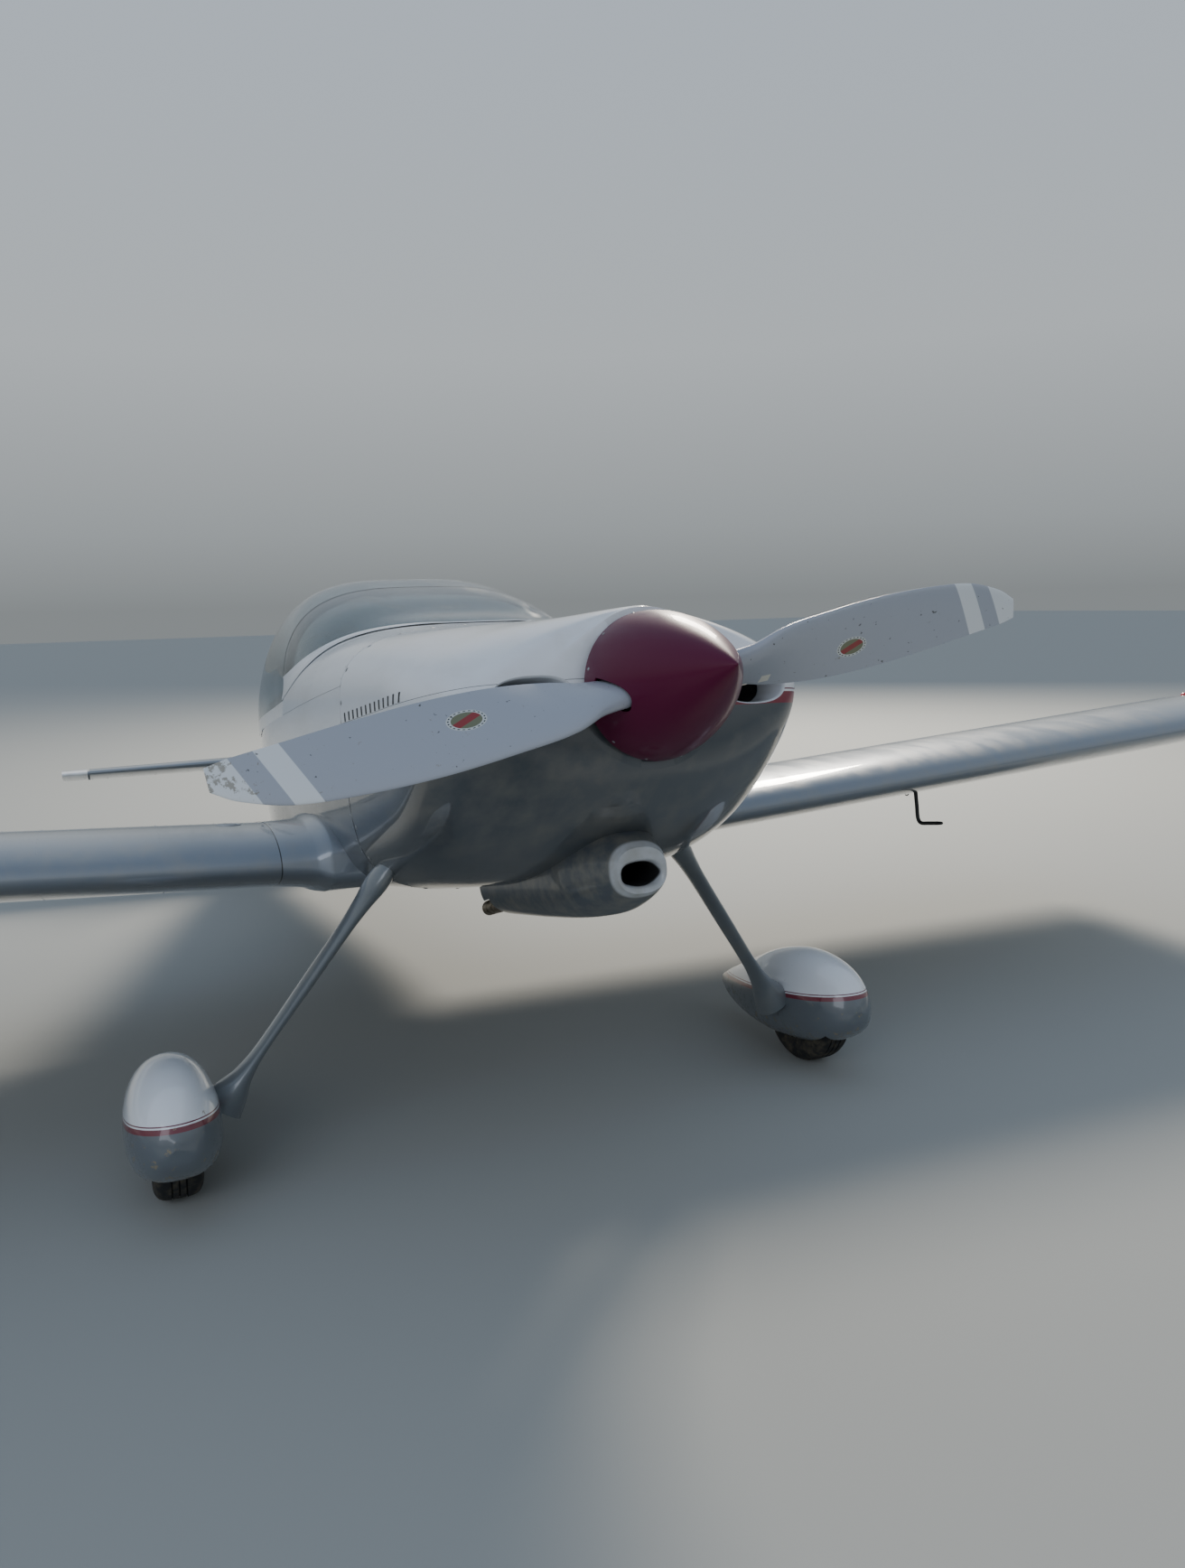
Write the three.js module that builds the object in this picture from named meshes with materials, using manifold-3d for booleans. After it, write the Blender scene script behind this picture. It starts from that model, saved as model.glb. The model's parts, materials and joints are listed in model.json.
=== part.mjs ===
// A light aircraft: a two-seat, low-wing, all-metal taildragger with a sliding bubble canopy.
// The pieces are drawn level, in millimetres: x to port, y aft from the wing's leading edge and
// z up from the propeller shaft. A last group turns them nose up, as the aircraft parks.
import * as THREE from 'three';
import { mergeVertices } from 'three/addons/utils/BufferGeometryUtils.js';
import Module from 'manifold-3d';

const wasm = await Module();
wasm.setup();

// Driving dimensions
const DECK_ANGLE = 10;
const JOINT_GAP = 0.3;
const RUNNING_GAP = 6;
const FIREWALL_Y = -216;
const FIREWALL_THICK = 6;
const CABIN_END_Y = 1500;
const TAIL_POST_Y = 4215;
const RAIL_Z = 125;
const SPLIT_Z = 25;

const SPINNER = { radius: 160, back: -1083, length: 350, fullness: 1.56, taper: 0.92 };
const PROP = { y: -1172, radius: 930, tilt: 7.95, pitch: 1600, hubRadius: 62, shaftRadius: 30 };

const WING = {
  rootX: 528, seamX: 3400, tipX: 3505, chord: 1473, z: -352, dihedral: 3.5, thick: 0.135, camber: 0.018,
};
const FLAP = { innerX: 566, outerX: 1975, chord: 300 };
const AILERON = { innerX: 1990, outerX: 3388, chord: 290 };

const TAILPLANE = { rootY: 3500, tipY: 3668, hingeY: 4010, endY: 4335, halfSpan: 1310, hornX: 1180, z: 120 };
const FIN = { footY: 3480, topY: 3840, endFootY: 4700, endTopY: 4520, footZ: -60, topZ: 880, hornZ: 770 };

const AXLE = { x: 1000, y: -10, z: -1001, radius: 15 };
const TYRE = { radius: 178, width: 127, rimRadius: 82 };
const TAILWHEEL = { y: 4547, z: -301, radius: 76, width: 50 };

const BOW_Y = 640;
const CANOPY_Y = 661;
const SLIDE = { x: 465, z: 143, radius: 8, start: 652, end: 1475 };

// Materials, in the colours of the weathered original
const paint = (color, roughness, metalness = 0) =>
  new THREE.MeshStandardMaterial({ color, roughness, metalness });
const white = paint(0xe9ebee, 0.3);
const grey = paint(0x8b939c, 0.35);
const silver = paint(0xa9b1ba, 0.4, 0.3);
const plum = paint(0x6d0f33, 0.15);
const bladeGrey = paint(0xa3a8ae, 0.45);
const steel = paint(0x6f7377, 0.4, 0.9);
const alloy = paint(0xb4b8bc, 0.35, 0.9);
const rubber = paint(0x1d1d1f, 0.9);
const black = paint(0x202124, 0.6);
const cloth = paint(0x50545c, 0.95);
const clear = paint(0xbfd4e2, 0.05);

// A closed solid from points and triangles, turned right side out
function solidOf(points, faces) {
  const at = (i) => new THREE.Vector3(...points[i]);
  const volume = faces.reduce((sum, [a, b, c]) => sum + at(a).dot(at(b).cross(at(c))), 0);
  const turned = volume < 0 ? faces.map(([a, b, c]) => [a, c, b]) : faces;
  const geometry = new THREE.BufferGeometry();
  geometry.setAttribute('position', new THREE.Float32BufferAttribute(points.flat(), 3));
  geometry.setIndex(turned.flat());
  return solidFrom(geometry);
}

// A solid for joining and cutting, from any closed three.js geometry
function solidFrom(source) {
  const geometry = source.clone();
  geometry.deleteAttribute('normal');
  geometry.deleteAttribute('uv');
  const merged = mergeVertices(geometry, 1e-3);
  const index = Array.from(merged.index.array);
  const kept = [];
  for (let i = 0; i < index.length; i += 3) {
    const [a, b, c] = index.slice(i, i + 3);
    if (a !== b && b !== c && c !== a) kept.push(a, b, c);
  }
  const vertProperties = new Float32Array(merged.attributes.position.array);
  const triVerts = new Uint32Array(kept);
  return new wasm.Manifold(new wasm.Mesh({ numProp: 3, vertProperties, triVerts }));
}

function geometryFrom(solid) {
  const { vertProperties, triVerts } = solid.getMesh();
  const geometry = new THREE.BufferGeometry();
  geometry.setAttribute('position', new THREE.BufferAttribute(new Float32Array(vertProperties), 3));
  geometry.setIndex(new THREE.BufferAttribute(new Uint32Array(triVerts), 1));
  const flat = geometry.toNonIndexed();
  flat.computeVertexNormals();
  return flat;
}

const join = (...solids) => solids.reduce((a, b) => a.add(b));
const cut = (solid, ...tools) => tools.reduce((a, b) => a.subtract(b), solid);
const both = (...solids) => solids.reduce((a, b) => a.intersect(b));

// A body through a row of rings with equal numbers of points, closed by a fan at each end
function loft(rings) {
  const count = rings[0].length;
  const points = rings.flat();
  const faces = [];
  for (let r = 0; r + 1 < rings.length; r++) {
    for (let i = 0; i < count; i++) {
      const a = r * count + i;
      const b = r * count + (i + 1) % count;
      faces.push([a, b, b + count], [a, b + count, a + count]);
    }
  }
  for (const [start, flip] of [[0, true], [(rings.length - 1) * count, false]]) {
    const ring = points.slice(start, start + count);
    const middle = [0, 1, 2].map((k) => ring.reduce((sum, p) => sum + p[k], 0) / count);
    const hub = points.push(middle) - 1;
    for (let i = 0; i < count; i++) {
      const a = start + i;
      const b = start + (i + 1) % count;
      faces.push(flip ? [hub, b, a] : [hub, a, b]);
    }
  }
  return solidOf(points, faces);
}

function box([x0, x1], [y0, y1], [z0, z1]) {
  const geometry = new THREE.BoxGeometry(x1 - x0, y1 - y0, z1 - z0);
  return solidFrom(geometry.translate((x0 + x1) / 2, (y0 + y1) / 2, (z0 + z1) / 2));
}

// A round rod from one point to another, tapering where the two radii differ
function rod(from, to, radius, endRadius = radius, sides = 16) {
  const a = new THREE.Vector3(...from);
  const b = new THREE.Vector3(...to);
  const along = b.clone().sub(a);
  const geometry = new THREE.CylinderGeometry(endRadius, radius, along.length(), sides);
  const upright = new THREE.Vector3(0, 1, 0);
  geometry.applyQuaternion(new THREE.Quaternion().setFromUnitVectors(upright, along.clone().normalize()));
  return solidFrom(geometry.translate(...a.add(b).multiplyScalar(0.5).toArray()));
}

// A round tube bent along a smooth curve through a few points
function bentRod(points, radius, steps = 18, sides = 8) {
  const curve = new THREE.CatmullRomCurve3(points.map((p) => new THREE.Vector3(...p)), false, 'centripetal');
  const section = new THREE.Shape();
  section.absarc(0, 0, radius, 0, 2 * Math.PI);
  const options = { steps, curveSegments: sides / 2, extrudePath: curve };
  return solidFrom(new THREE.ExtrudeGeometry(section, options));
}

// A turned body about the y axis, from a profile of [radius, y] that closes on the axis or itself
function turned(profile, segments = 36) {
  const points = profile.map(([r, y]) => new THREE.Vector2(r, y));
  const solid = solidFrom(new THREE.LatheGeometry(points, segments));
  return solid.volume() > 0 ? solid : solidFrom(new THREE.LatheGeometry(points.toReversed(), segments));
}

// A smooth value between the rows of a table sorted by its first column
function between(table, key) {
  const last = table.length - 1;
  const i = Math.min(Math.max(table.findIndex((row) => row[0] > key), 1), last);
  const row = key >= table[last][0] ? last : i;
  const [a, b] = [table[row - 1], table[row]];
  const t = (key - a[0]) / (b[0] - a[0]);
  const slope = (n, k) => {
    const p = table[Math.max(n - 1, 0)];
    const q = table[Math.min(n + 1, last)];
    return (q[k] - p[k]) / (q[0] - p[0]);
  };
  return a.map((value, k) => {
    const width = b[0] - a[0];
    const lead = (2 * t ** 3 - 3 * t ** 2 + 1) * value + (3 * t ** 2 - 2 * t ** 3) * b[k];
    return lead + width * ((t ** 3 - 2 * t ** 2 + t) * slope(row - 1, k) + (t ** 3 - t ** 2) * slope(row, k));
  });
}

// A ring across the fuselage: a superellipse with its own power above and below its waist
function ring([y, half, top, low, waist, up, down], grow = 0, count = 28) {
  return Array.from({ length: count }, (_, i) => {
    const angle = 2 * Math.PI * i / count;
    const c = Math.cos(angle);
    const s = Math.sin(angle);
    const power = 2 / (s >= 0 ? up : down);
    const reach = (s >= 0 ? top - waist : waist - low) + grow;
    return [
      (half + grow) * Math.sign(c) * Math.abs(c) ** power,
      y,
      waist + reach * Math.sign(s) * Math.abs(s) ** power,
    ];
  });
}

const rowsAlong = (table, stations) => stations.map((y) => between(table, y));
const hullBody = (table, stations, grow = 0, count = 28) =>
  loft(rowsAlong(table, stations).map((row) => ring(row, grow, count)));

// Fuselage: y, half width, top, bottom, waist, power above, power below
const HULL = [
  [-216, 497, 278, -450, 25, 3.3, 4.6],
  [150, 518, 340, -460, 25, 3.2, 4.6],
  [640, 530, 400, -464, 25, 3.1, 4.4],
  [1050, 530, 385, -462, 25, 3.1, 4.2],
  [1500, 494, 345, -446, 25, 3.1, 4.0],
  [2100, 416, 300, -388, 20, 3.0, 3.6],
  [2900, 265, 226, -258, 20, 2.8, 3.2],
  [3560, 140, 166, -150, 15, 2.6, 3.0],
  [4215, 32, 116, -66, 10, 2.4, 2.8],
];
const HULL_STATIONS = [-216, 150, 420, 640, 1050, 1500, 1900, 2400, 2900, 3560, 4215];

// Cowling: the same columns, from the spinner's back plate to the firewall
const COWL = [
  [-1068, 175, 172, -176, 0, 2.0, 2.0],
  [-1058, 279, 176, -186, 0, 1.35, 2.0],
  [-1040, 367, 179, -200, 0, 1.45, 2.0],
  [-1000, 405, 183, -228, 3, 1.6, 2.2],
  [-900, 438, 188, -300, 8, 2.0, 2.5],
  [-740, 466, 205, -376, 15, 2.3, 3.0],
  [-500, 478, 237, -430, 22, 3.0, 3.8],
  [-216, 497, 278, -450, 25, 3.3, 4.6],
];
const COWL_STATIONS = [-1068, -1058, -1040, -1000, -900, -800, -640, -440, -216];

// Air scoop and exit duct under the cowling: the same columns
const SCOOP = [
  [-940, 62, -346, -450, -398, 2.4, 2.4],
  [-915, 74, -330, -462, -396, 2.4, 2.4],
  [-850, 96, -300, -486, -400, 2.4, 2.4],
  [-740, 124, -290, -514, -410, 2.6, 2.5],
  [-530, 142, -300, -531, -420, 2.8, 2.6],
  [-216, 160, -320, -541, -430, 3.2, 3.0],
];
const SCOOP_STATIONS = [-940, -915, -850, -740, -530, -216];

// Canopy bubble, windshield included: the same columns
const BUBBLE = [
  [60, 150, 300, 60, 100, 2.9, 2],
  [150, 330, 352, 60, 100, 2.9, 2],
  [300, 448, 404, 60, 100, 3.1, 2],
  [450, 490, 474, 60, 100, 3.2, 2],
  [650, 512, 550, 60, 100, 3.2, 2],
  [900, 512, 628, 60, 100, 3.2, 2],
  [1200, 512, 613, 60, 100, 3.2, 2],
  [1500, 497, 531, 60, 100, 3.2, 2],
  [1800, 458, 409, 60, 100, 3.3, 2],
  [2120, 401, 299, 60, 100, 3.5, 2],
];
const BUBBLE_STATIONS = [60, 150, 225, 300, 400, 520, 655, 850, 1050, 1250, 1500, 1700, 1900, 2120];

const parts = new THREE.Group();
function add(name, solid, material) {
  const mesh = new THREE.Mesh(geometryFrom(solid), material);
  mesh.name = name;
  parts.add(mesh);
}

const WIDE = [-2000, 2000];
const hull = hullBody(HULL, HULL_STATIONS);
const hullClear = hullBody(HULL, HULL_STATIONS, JOINT_GAP);

// Wing and tail sections
// Half thickness of an airfoil, as a share of its chord, s from the nose to the end
const halfThick = (s, thick) =>
  5 * thick * (0.2969 * Math.sqrt(s) - 0.126 * s - 0.3516 * s ** 2 + 0.2843 * s ** 3 - 0.1036 * s ** 4);
const STEPS = Array.from({ length: 9 }, (_, i) => (1 - Math.cos(Math.PI * i / 8)) / 2);

// An airfoil ring, [distance aft, height] from the end over the top to the nose and back below
function airfoil(chord, thick, camber = 0, grow = 0, edge = 1.5) {
  const row = (s, side) => {
    const middle = camber * Math.sin(Math.PI * s ** 0.6) * chord;
    return [s * chord + grow * (2 * s - 1), middle + side * (halfThick(s, thick) * chord + edge * s + grow)];
  };
  const top = STEPS.toReversed().map((s) => row(s, 1));
  const low = STEPS.slice(grow > 0 ? 0 : 1).map((s) => row(s, -1));
  return [...top, ...low];
}

const wingZ = (x) => WING.z + (Math.abs(x) - WING.rootX) * Math.tan(THREE.MathUtils.degToRad(WING.dihedral));
const wingRing = (x, grow = 0) =>
  airfoil(WING.chord, WING.thick, WING.camber, grow).map(([y, z]) => [x, y, wingZ(x) + z]);

// Camber line and half thickness of the wing at a distance aft
function wingAt(y) {
  const s = y / WING.chord;
  const middle = WING.camber * Math.sin(Math.PI * s ** 0.6) * WING.chord;
  return { middle, half: halfThick(s, WING.thick) * WING.chord + 1.5 * s };
}

// A block between two stations of the wing, from one distance aft to another
function wingSlab(side, x0, x1, y0, y1, below = 150, above = 150) {
  const plate = (x) => [[y0, -below], [y1, -below], [y1, above], [y0, above]]
    .map(([y, z]) => [side * x, y, wingZ(x) + z]);
  return loft([plate(x0), plate(x1)]);
}

// Fairing where the wing meets the fuselage: x, and how far it stands off the wing's own section
const FAIRING_LOW = -442;
const ROOT_FAIRING = [[400, 24], [515, 24], [560, 9], [655, 1]];

// Tie-down point under each wing: a flat pad that stands proud of the skin
const TIE_DOWN = { x: 1900, y: 500, radius: 16, proud: 3 };

// The pin, and the eye of the bracket that holds it, where a control surface hangs
const PIN = { radius: 4, bore: 4.5, eye: 11, plate: 3, slot: 10 };

// Hinge pieces at one point of a hinge line. The bracket reaches from the fixed surface, foot, to the
// pin. across is the hinge line's direction, and slot is cut out of the moving surface round the bracket.
function hingeAt(at, foot, across, slotBack) {
  const point = new THREE.Vector3(...at);
  const line = new THREE.Vector3(...across).normalize();
  const shift = (distance) => point.clone().addScaledVector(line, distance).toArray();
  const eye = rod(shift(-PIN.plate), shift(PIN.plate), PIN.eye, PIN.eye, 12);
  const reach = new THREE.Vector3(...foot).sub(point);
  const arm = new THREE.BoxGeometry(2 * PIN.plate, reach.length(), 2 * PIN.eye);
  const up = new THREE.Vector3().crossVectors(line, reach.clone().normalize());
  const frame = new THREE.Matrix4().makeBasis(line, reach.clone().normalize(), up);
  arm.applyMatrix4(frame).translate(...point.clone().addScaledVector(reach, 0.5).toArray());
  const bore = rod(shift(-2 * PIN.plate), shift(2 * PIN.plate), PIN.bore, PIN.bore, 12);
  const slot = new THREE.BoxGeometry(2 * PIN.slot, reach.length() + slotBack, 2 * slotBack + 90);
  const slotMiddle = point.clone().addScaledVector(reach, 0.5 - slotBack / 2 / reach.length());
  slot.applyMatrix4(frame).translate(...slotMiddle.toArray());
  return {
    bracket: cut(join(solidFrom(arm), eye), bore),
    bore,
    slot: solidFrom(slot),
    pin: rod(shift(-PIN.slot - 3), shift(PIN.slot + 3), PIN.radius, PIN.radius, 12),
  };
}

// Cabin: a tub of floor and sides up to the rails, under a forward deck
const WALL = 22;
const LEDGE = 80;
const DECK_WALL = 8;
const BULKHEAD_GAP = FIREWALL_Y + FIREWALL_THICK + JOINT_GAP;

function makeCabin() {
  const length = [BULKHEAD_GAP, CABIN_END_Y];
  const sides = both(hull, box(WIDE, length, [-900, RAIL_Z]));
  const walls = cut(sides, both(hullBody(HULL, HULL_STATIONS, -WALL), box(WIDE, [-400, 1700], [-900, 400])));
  const edge = both(hull, box(WIDE, length, [RAIL_Z - 20, RAIL_Z]));
  const ledge = cut(edge, both(hullBody(HULL, HULL_STATIONS, -LEDGE), box(WIDE, [-400, 1700], [0, 400])));
  const posts = [SLIDE.start, SLIDE.end - 10].flatMap((y) => [-SLIDE.x, SLIDE.x].map((x) =>
    box([x - 12, x + 12], [y - 5, y + 10], [RAIL_Z - 5, SLIDE.z + 12])));
  const rails = [-SLIDE.x, SLIDE.x].map((x) =>
    rod([x, SLIDE.start, SLIDE.z], [x, SLIDE.end, SLIDE.z], SLIDE.radius));
  add('cabin_tub', join(walls, ledge, ...posts, ...rails), grey);

  const under = hullBody(HULL, HULL_STATIONS, -DECK_WALL);
  const deck = cut(hull, both(under, box(WIDE, [-400, 1700], [0, 900])));
  add('forward_deck', both(deck, box(WIDE, [BULKHEAD_GAP, BOW_Y - 15], [RAIL_Z + JOINT_GAP, 900])), white);

  const panelRoom = hullBody(HULL, HULL_STATIONS, -DECK_WALL - JOINT_GAP);
  const sideRoom = hullBody(HULL, HULL_STATIONS, -LEDGE - JOINT_GAP);
  const slab = box(WIDE, [560, 568], [RAIL_Z + JOINT_GAP, 900]);
  const lower = both(sideRoom, box(WIDE, [560, 568], [-70, RAIL_Z + 1]));
  add('instrument_panel', join(both(panelRoom, slab), lower), black);
}

// Seats: a cushion and a leaning back in one outline, side by side
const SEAT = {
  x: 228, half: 182, front: 860, hinge: 1270, floor: -460, top: -250, back: 1440, head: 230, thick: 90,
};

function makeSeats() {
  const room = hullBody(HULL, HULL_STATIONS, -WALL - JOINT_GAP);
  for (const side of [-1, 1]) {
    const outline = [
      [SEAT.front, SEAT.floor], [SEAT.hinge, SEAT.floor], [SEAT.hinge + 60, SEAT.top - 60],
      [SEAT.back, SEAT.head], [SEAT.back - SEAT.thick, SEAT.head], [SEAT.hinge - 60, SEAT.top - 20],
      [SEAT.front, SEAT.top],
    ];
    const shape = new THREE.Shape(outline.map(([y, z]) => new THREE.Vector2(y, z)));
    const geometry = new THREE.ExtrudeGeometry(shape, { depth: 2 * SEAT.half, bevelEnabled: false });
    const turn = new THREE.Matrix4().makeBasis(
      new THREE.Vector3(0, 1, 0), new THREE.Vector3(0, 0, 1), new THREE.Vector3(1, 0, 0));
    geometry.applyMatrix4(turn).translate(side * SEAT.x - SEAT.half, 0, 0);
    const name = side > 0 ? 'left' : 'right';
    add(`seat_${name}`, both(solidFrom(geometry), room), cloth);
    const foot = [side * 250, 790, SEAT.floor - 20];
    const grip = [side * 250, 770, -90];
    const stick = join(rod(foot, grip, 10), rod([side * 250, 775, -170], grip, 17, 19));
    add(`control_stick_${name}`, both(stick, room), black);
  }
}

// Firewall with the two sockets of the landing gear, and the engine on its mount
const LEG_TOP = [372, -291, -300];
const SOCKET = { radius: 34, depth: 14 };

function makeFirewall() {
  const plate = both(hull, box(WIDE, [FIREWALL_Y, FIREWALL_Y + FIREWALL_THICK], [-900, 900]));
  const sockets = [-1, 1].map((side) => {
    const [x, , z] = LEG_TOP;
    return rod([side * x, FIREWALL_Y + 2, z], [side * x, FIREWALL_Y - SOCKET.depth, z], SOCKET.radius);
  });
  add('firewall', join(plate, ...sockets), steel);
}

const ENGINE = { half: 310, front: -860, back: -420, top: 95, low: -190 };

function makeEngine() {
  const block = box([-ENGINE.half, ENGINE.half], [ENGINE.front, ENGINE.back], [ENGINE.low, ENGINE.top]);
  const nose = rod([0, ENGINE.front + 5, 0], [0, SPINNER.back + 14, 0], 62, 62, 20);
  const shaft = rod([0, SPINNER.back + 20, 0], [0, PROP.y - 40, 0], PROP.shaftRadius, PROP.shaftRadius, 20);
  const mounts = [-1, 1].flatMap((side) => [-150, 60].map((z) =>
    rod([side * 190, ENGINE.back - 5, z], [side * 230, FIREWALL_Y + 20, z + 10], 12)));
  const ahead = box(WIDE, [-2000, FIREWALL_Y - JOINT_GAP], [-900, 900]);
  add('engine_block', both(join(block, nose, shaft, ...mounts), ahead), steel);
}

// Cowling: an upper and a lower shell with two air inlets, a scoop and the exit duct
const COWL_WALL = 5;
const INLET = { x: 264, half: 88, z: -6, rise: 44, from: -1200, to: -940 };

function makeCowling() {
  const gap = [-2000, FIREWALL_Y - JOINT_GAP];
  const outer = hullBody(COWL, COWL_STATIONS);
  const inner = hullBody(COWL, COWL_STATIONS, -COWL_WALL);
  const duct = hullBody(SCOOP, SCOOP_STATIONS);
  const ductInner = hullBody(SCOOP, SCOOP_STATIONS, -COWL_WALL);
  const innerFree = both(inner, box(WIDE, [-1068 + COWL_WALL, 0], [-900, 900]));
  const { x, half, z, rise } = INLET;
  const inlets = [-x, x].map((middle) => loft([INLET.from, INLET.to].map((y) =>
    ring([y, half, z + rise, z - rise, z, 2.4, 2.4], 0, 16).map((point) => [point[0] + middle, y, point[2]]))));
  const nose = rod([0, -1100, 0], [0, -1040, 0], 75, 75, 20);
  const mouth = loft([[-1000, -8], [-930, -8], [-880, 8]].map(([y, grow]) =>
    ring([y, 46, -380, -432, -406, 2.6, 2.6], grow, 16)));
  const shell = cut(outer, innerFree, ...inlets, nose);
  add('upper_cowl', both(shell, box(WIDE, gap, [SPLIT_Z + JOINT_GAP, 900])), white);

  const ductFree = both(ductInner, box(WIDE, [-930, 0], [-900, 0]));
  const belly = cut(join(outer, duct), innerFree, ductFree, ...inlets, nose, mouth);
  const exit = box([-150, 150], [FIREWALL_Y - 45, 0], [-700, -456]);
  const legRoom = [-1, 1].map((side) => legBody(side, [LEG, BELLY_CUFF], 2));
  add('lower_cowl', both(cut(belly, exit, ...legRoom), box(WIDE, gap, [-900, SPLIT_Z])), grey);
}

// Canopy: the fixed windshield on its bow, and the sliding bubble in its frame
const GLASS = 5;
const SKIRT_TOP = 178;

function archPoints(y, inset, foot) {
  const [, half, top, , waist, up] = between(BUBBLE, y);
  return Array.from({ length: 13 }, (_, i) => {
    const angle = Math.PI * i / 12;
    const c = Math.cos(angle);
    const x = (half - inset) * Math.sign(c) * Math.abs(c) ** (2 / up);
    const z = waist + (top - waist - inset) * Math.sin(angle) ** (2 / up);
    return [x, y, Math.max(z, foot)];
  }).filter(([, , z], i, all) => z > foot || i === 0 || i === all.length - 1);
}

function makeCanopy() {
  const outer = hullBody(BUBBLE, BUBBLE_STATIONS);
  const inner = hullBody(BUBBLE, BUBBLE_STATIONS, -GLASS);
  const above = (z) => [z, 1200];
  const shell = cut(outer, both(inner, box(WIDE, [60 + GLASS, 3000], above(0))));
  const ahead = box(WIDE, [0, CANOPY_Y - RUNNING_GAP], above(RAIL_Z + JOINT_GAP));
  add('windshield', cut(both(shell, ahead), hullClear), clear);
  const underGlass = hullBody(BUBBLE, BUBBLE_STATIONS, -GLASS - JOINT_GAP);
  const arch = (y, radius) => both(bentRod(archPoints(y, GLASS + radius - 1, 0), radius, 18, 6), underGlass);
  add('windshield_bow', both(arch(BOW_Y, 12), box(WIDE, [0, 1000], above(RAIL_Z + JOINT_GAP))), black);

  const deckRoom = hullBody(HULL, HULL_STATIONS, RUNNING_GAP);
  const behind = box(WIDE, [CANOPY_Y, 2110], above(RAIL_Z + RUNNING_GAP));
  const hood = cut(both(shell, behind), both(deckRoom, box(WIDE, [CABIN_END_Y - 20, 3000], [0, 900])));
  add('canopy_glass', both(hood, box(WIDE, [CANOPY_Y, 2110], above(SKIRT_TOP + JOINT_GAP))), clear);
  const skirt = both(hood, box(WIDE, [CANOPY_Y, 2110], [0, SKIRT_TOP]));
  const bow = both(arch(CANOPY_Y + 16, 10), box(WIDE, [0, 1000], above(RAIL_Z + RUNNING_GAP)));
  const sliders = [-1, 1].map((side) => {
    const near = side * (SLIDE.x - 14);
    const far = side * (SLIDE.x + 44);
    const span = [Math.min(near, far), Math.max(near, far)];
    return cut(
      box(span, [CANOPY_Y + 4, CANOPY_Y + 40], [RAIL_Z + RUNNING_GAP, SLIDE.z + 14]),
      rod([side * SLIDE.x, 600, SLIDE.z], [side * SLIDE.x, 800, SLIDE.z], SLIDE.radius + 0.6));
  });
  add('canopy_frame', join(skirt, bow, ...sliders), black);
}

// Tail cone, with the seat of the tailplane, the passage of its control tube and the lowest rudder hinge
const rudderHinge = (z, reach) => hingeAt([0, TAIL_POST_Y, z], [0, TAIL_POST_Y - reach, z], [0, 0, 1], 20);
const footHinge = rudderHinge(10, 70);
const elevatorPassage = rod([-300, TAILPLANE.hingeY, TAILPLANE.z], [300, TAILPLANE.hingeY, TAILPLANE.z], 19);

function makeTailCone() {
  const cone = both(hull, box(WIDE, [CABIN_END_Y + JOINT_GAP, TAIL_POST_Y], [-900, 900]));
  const seated = cut(cone, tailBody(JOINT_GAP), rudderCove(), elevatorPassage);
  add('tail_cone', join(seated, footHinge.bracket), grey);
}

// Tailplane and elevators: one outline, parted at the hinge line
function tailRing(x, grow) {
  const share = Math.abs(x) / TAILPLANE.halfSpan;
  const nose = THREE.MathUtils.lerp(TAILPLANE.rootY, TAILPLANE.tipY, share);
  const chord = TAILPLANE.endY - nose;
  return airfoil(chord, 0.085, 0, grow).map(([y, z]) => [x, nose + y, TAILPLANE.z + z]);
}
const tailBody = (grow = 0) => join(
  loft([tailRing(-TAILPLANE.halfSpan, grow), tailRing(0, grow)]),
  loft([tailRing(0, grow), tailRing(TAILPLANE.halfSpan, grow)]));
const ELEVATOR_NOSE = 27;

function makeTailplane() {
  const { hingeY, halfSpan, hornX, z } = TAILPLANE;
  const line = (radius) => rod([-halfSpan - 10, hingeY, z], [halfSpan + 10, hingeY, z], radius, radius, 18);
  const aft = box(WIDE, [hingeY, 5000], [z - 200, z + 200]);
  const hingePoints = [-1080, -520, 520, 1080];
  const hinges = hingePoints.map((x) => hingeAt([x, hingeY, z], [x, hingeY - 60, z], [1, 0, 0], 20));
  const fixed = both(tailBody(), box([-hornX + 10, hornX - 10], [3000, 5000], [-500, 500]));
  const plane = cut(fixed, line(ELEVATOR_NOSE + RUNNING_GAP), aft);
  add('tailplane', join(plane, ...hinges.map((hinge) => hinge.bracket)), grey);

  const horns = [-1, 1].map((side) =>
    box(side > 0 ? [hornX, 2000] : [-2000, -hornX], [3000, hingeY + 5], [-500, 500]));
  const moving = both(tailBody(), join(line(ELEVATOR_NOSE), aft, ...horns));
  const middle = loft([[hingeY - 60, 60], [hingeY + 40, 74], [TAILPLANE.endY + 10, 180]].map(([y, half]) =>
    [[-half, y, -300], [half, y, -300], [half, y, 500], [-half, y, 500]]));
  const tube = rod([-95, hingeY, z], [95, hingeY, z], 12);
  const surface = cut(moving, middle, ...hinges.map((hinge) => hinge.slot));
  add('elevators', join(surface, tube, ...hinges.map((hinge) => hinge.pin)), silver);
}

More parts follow.
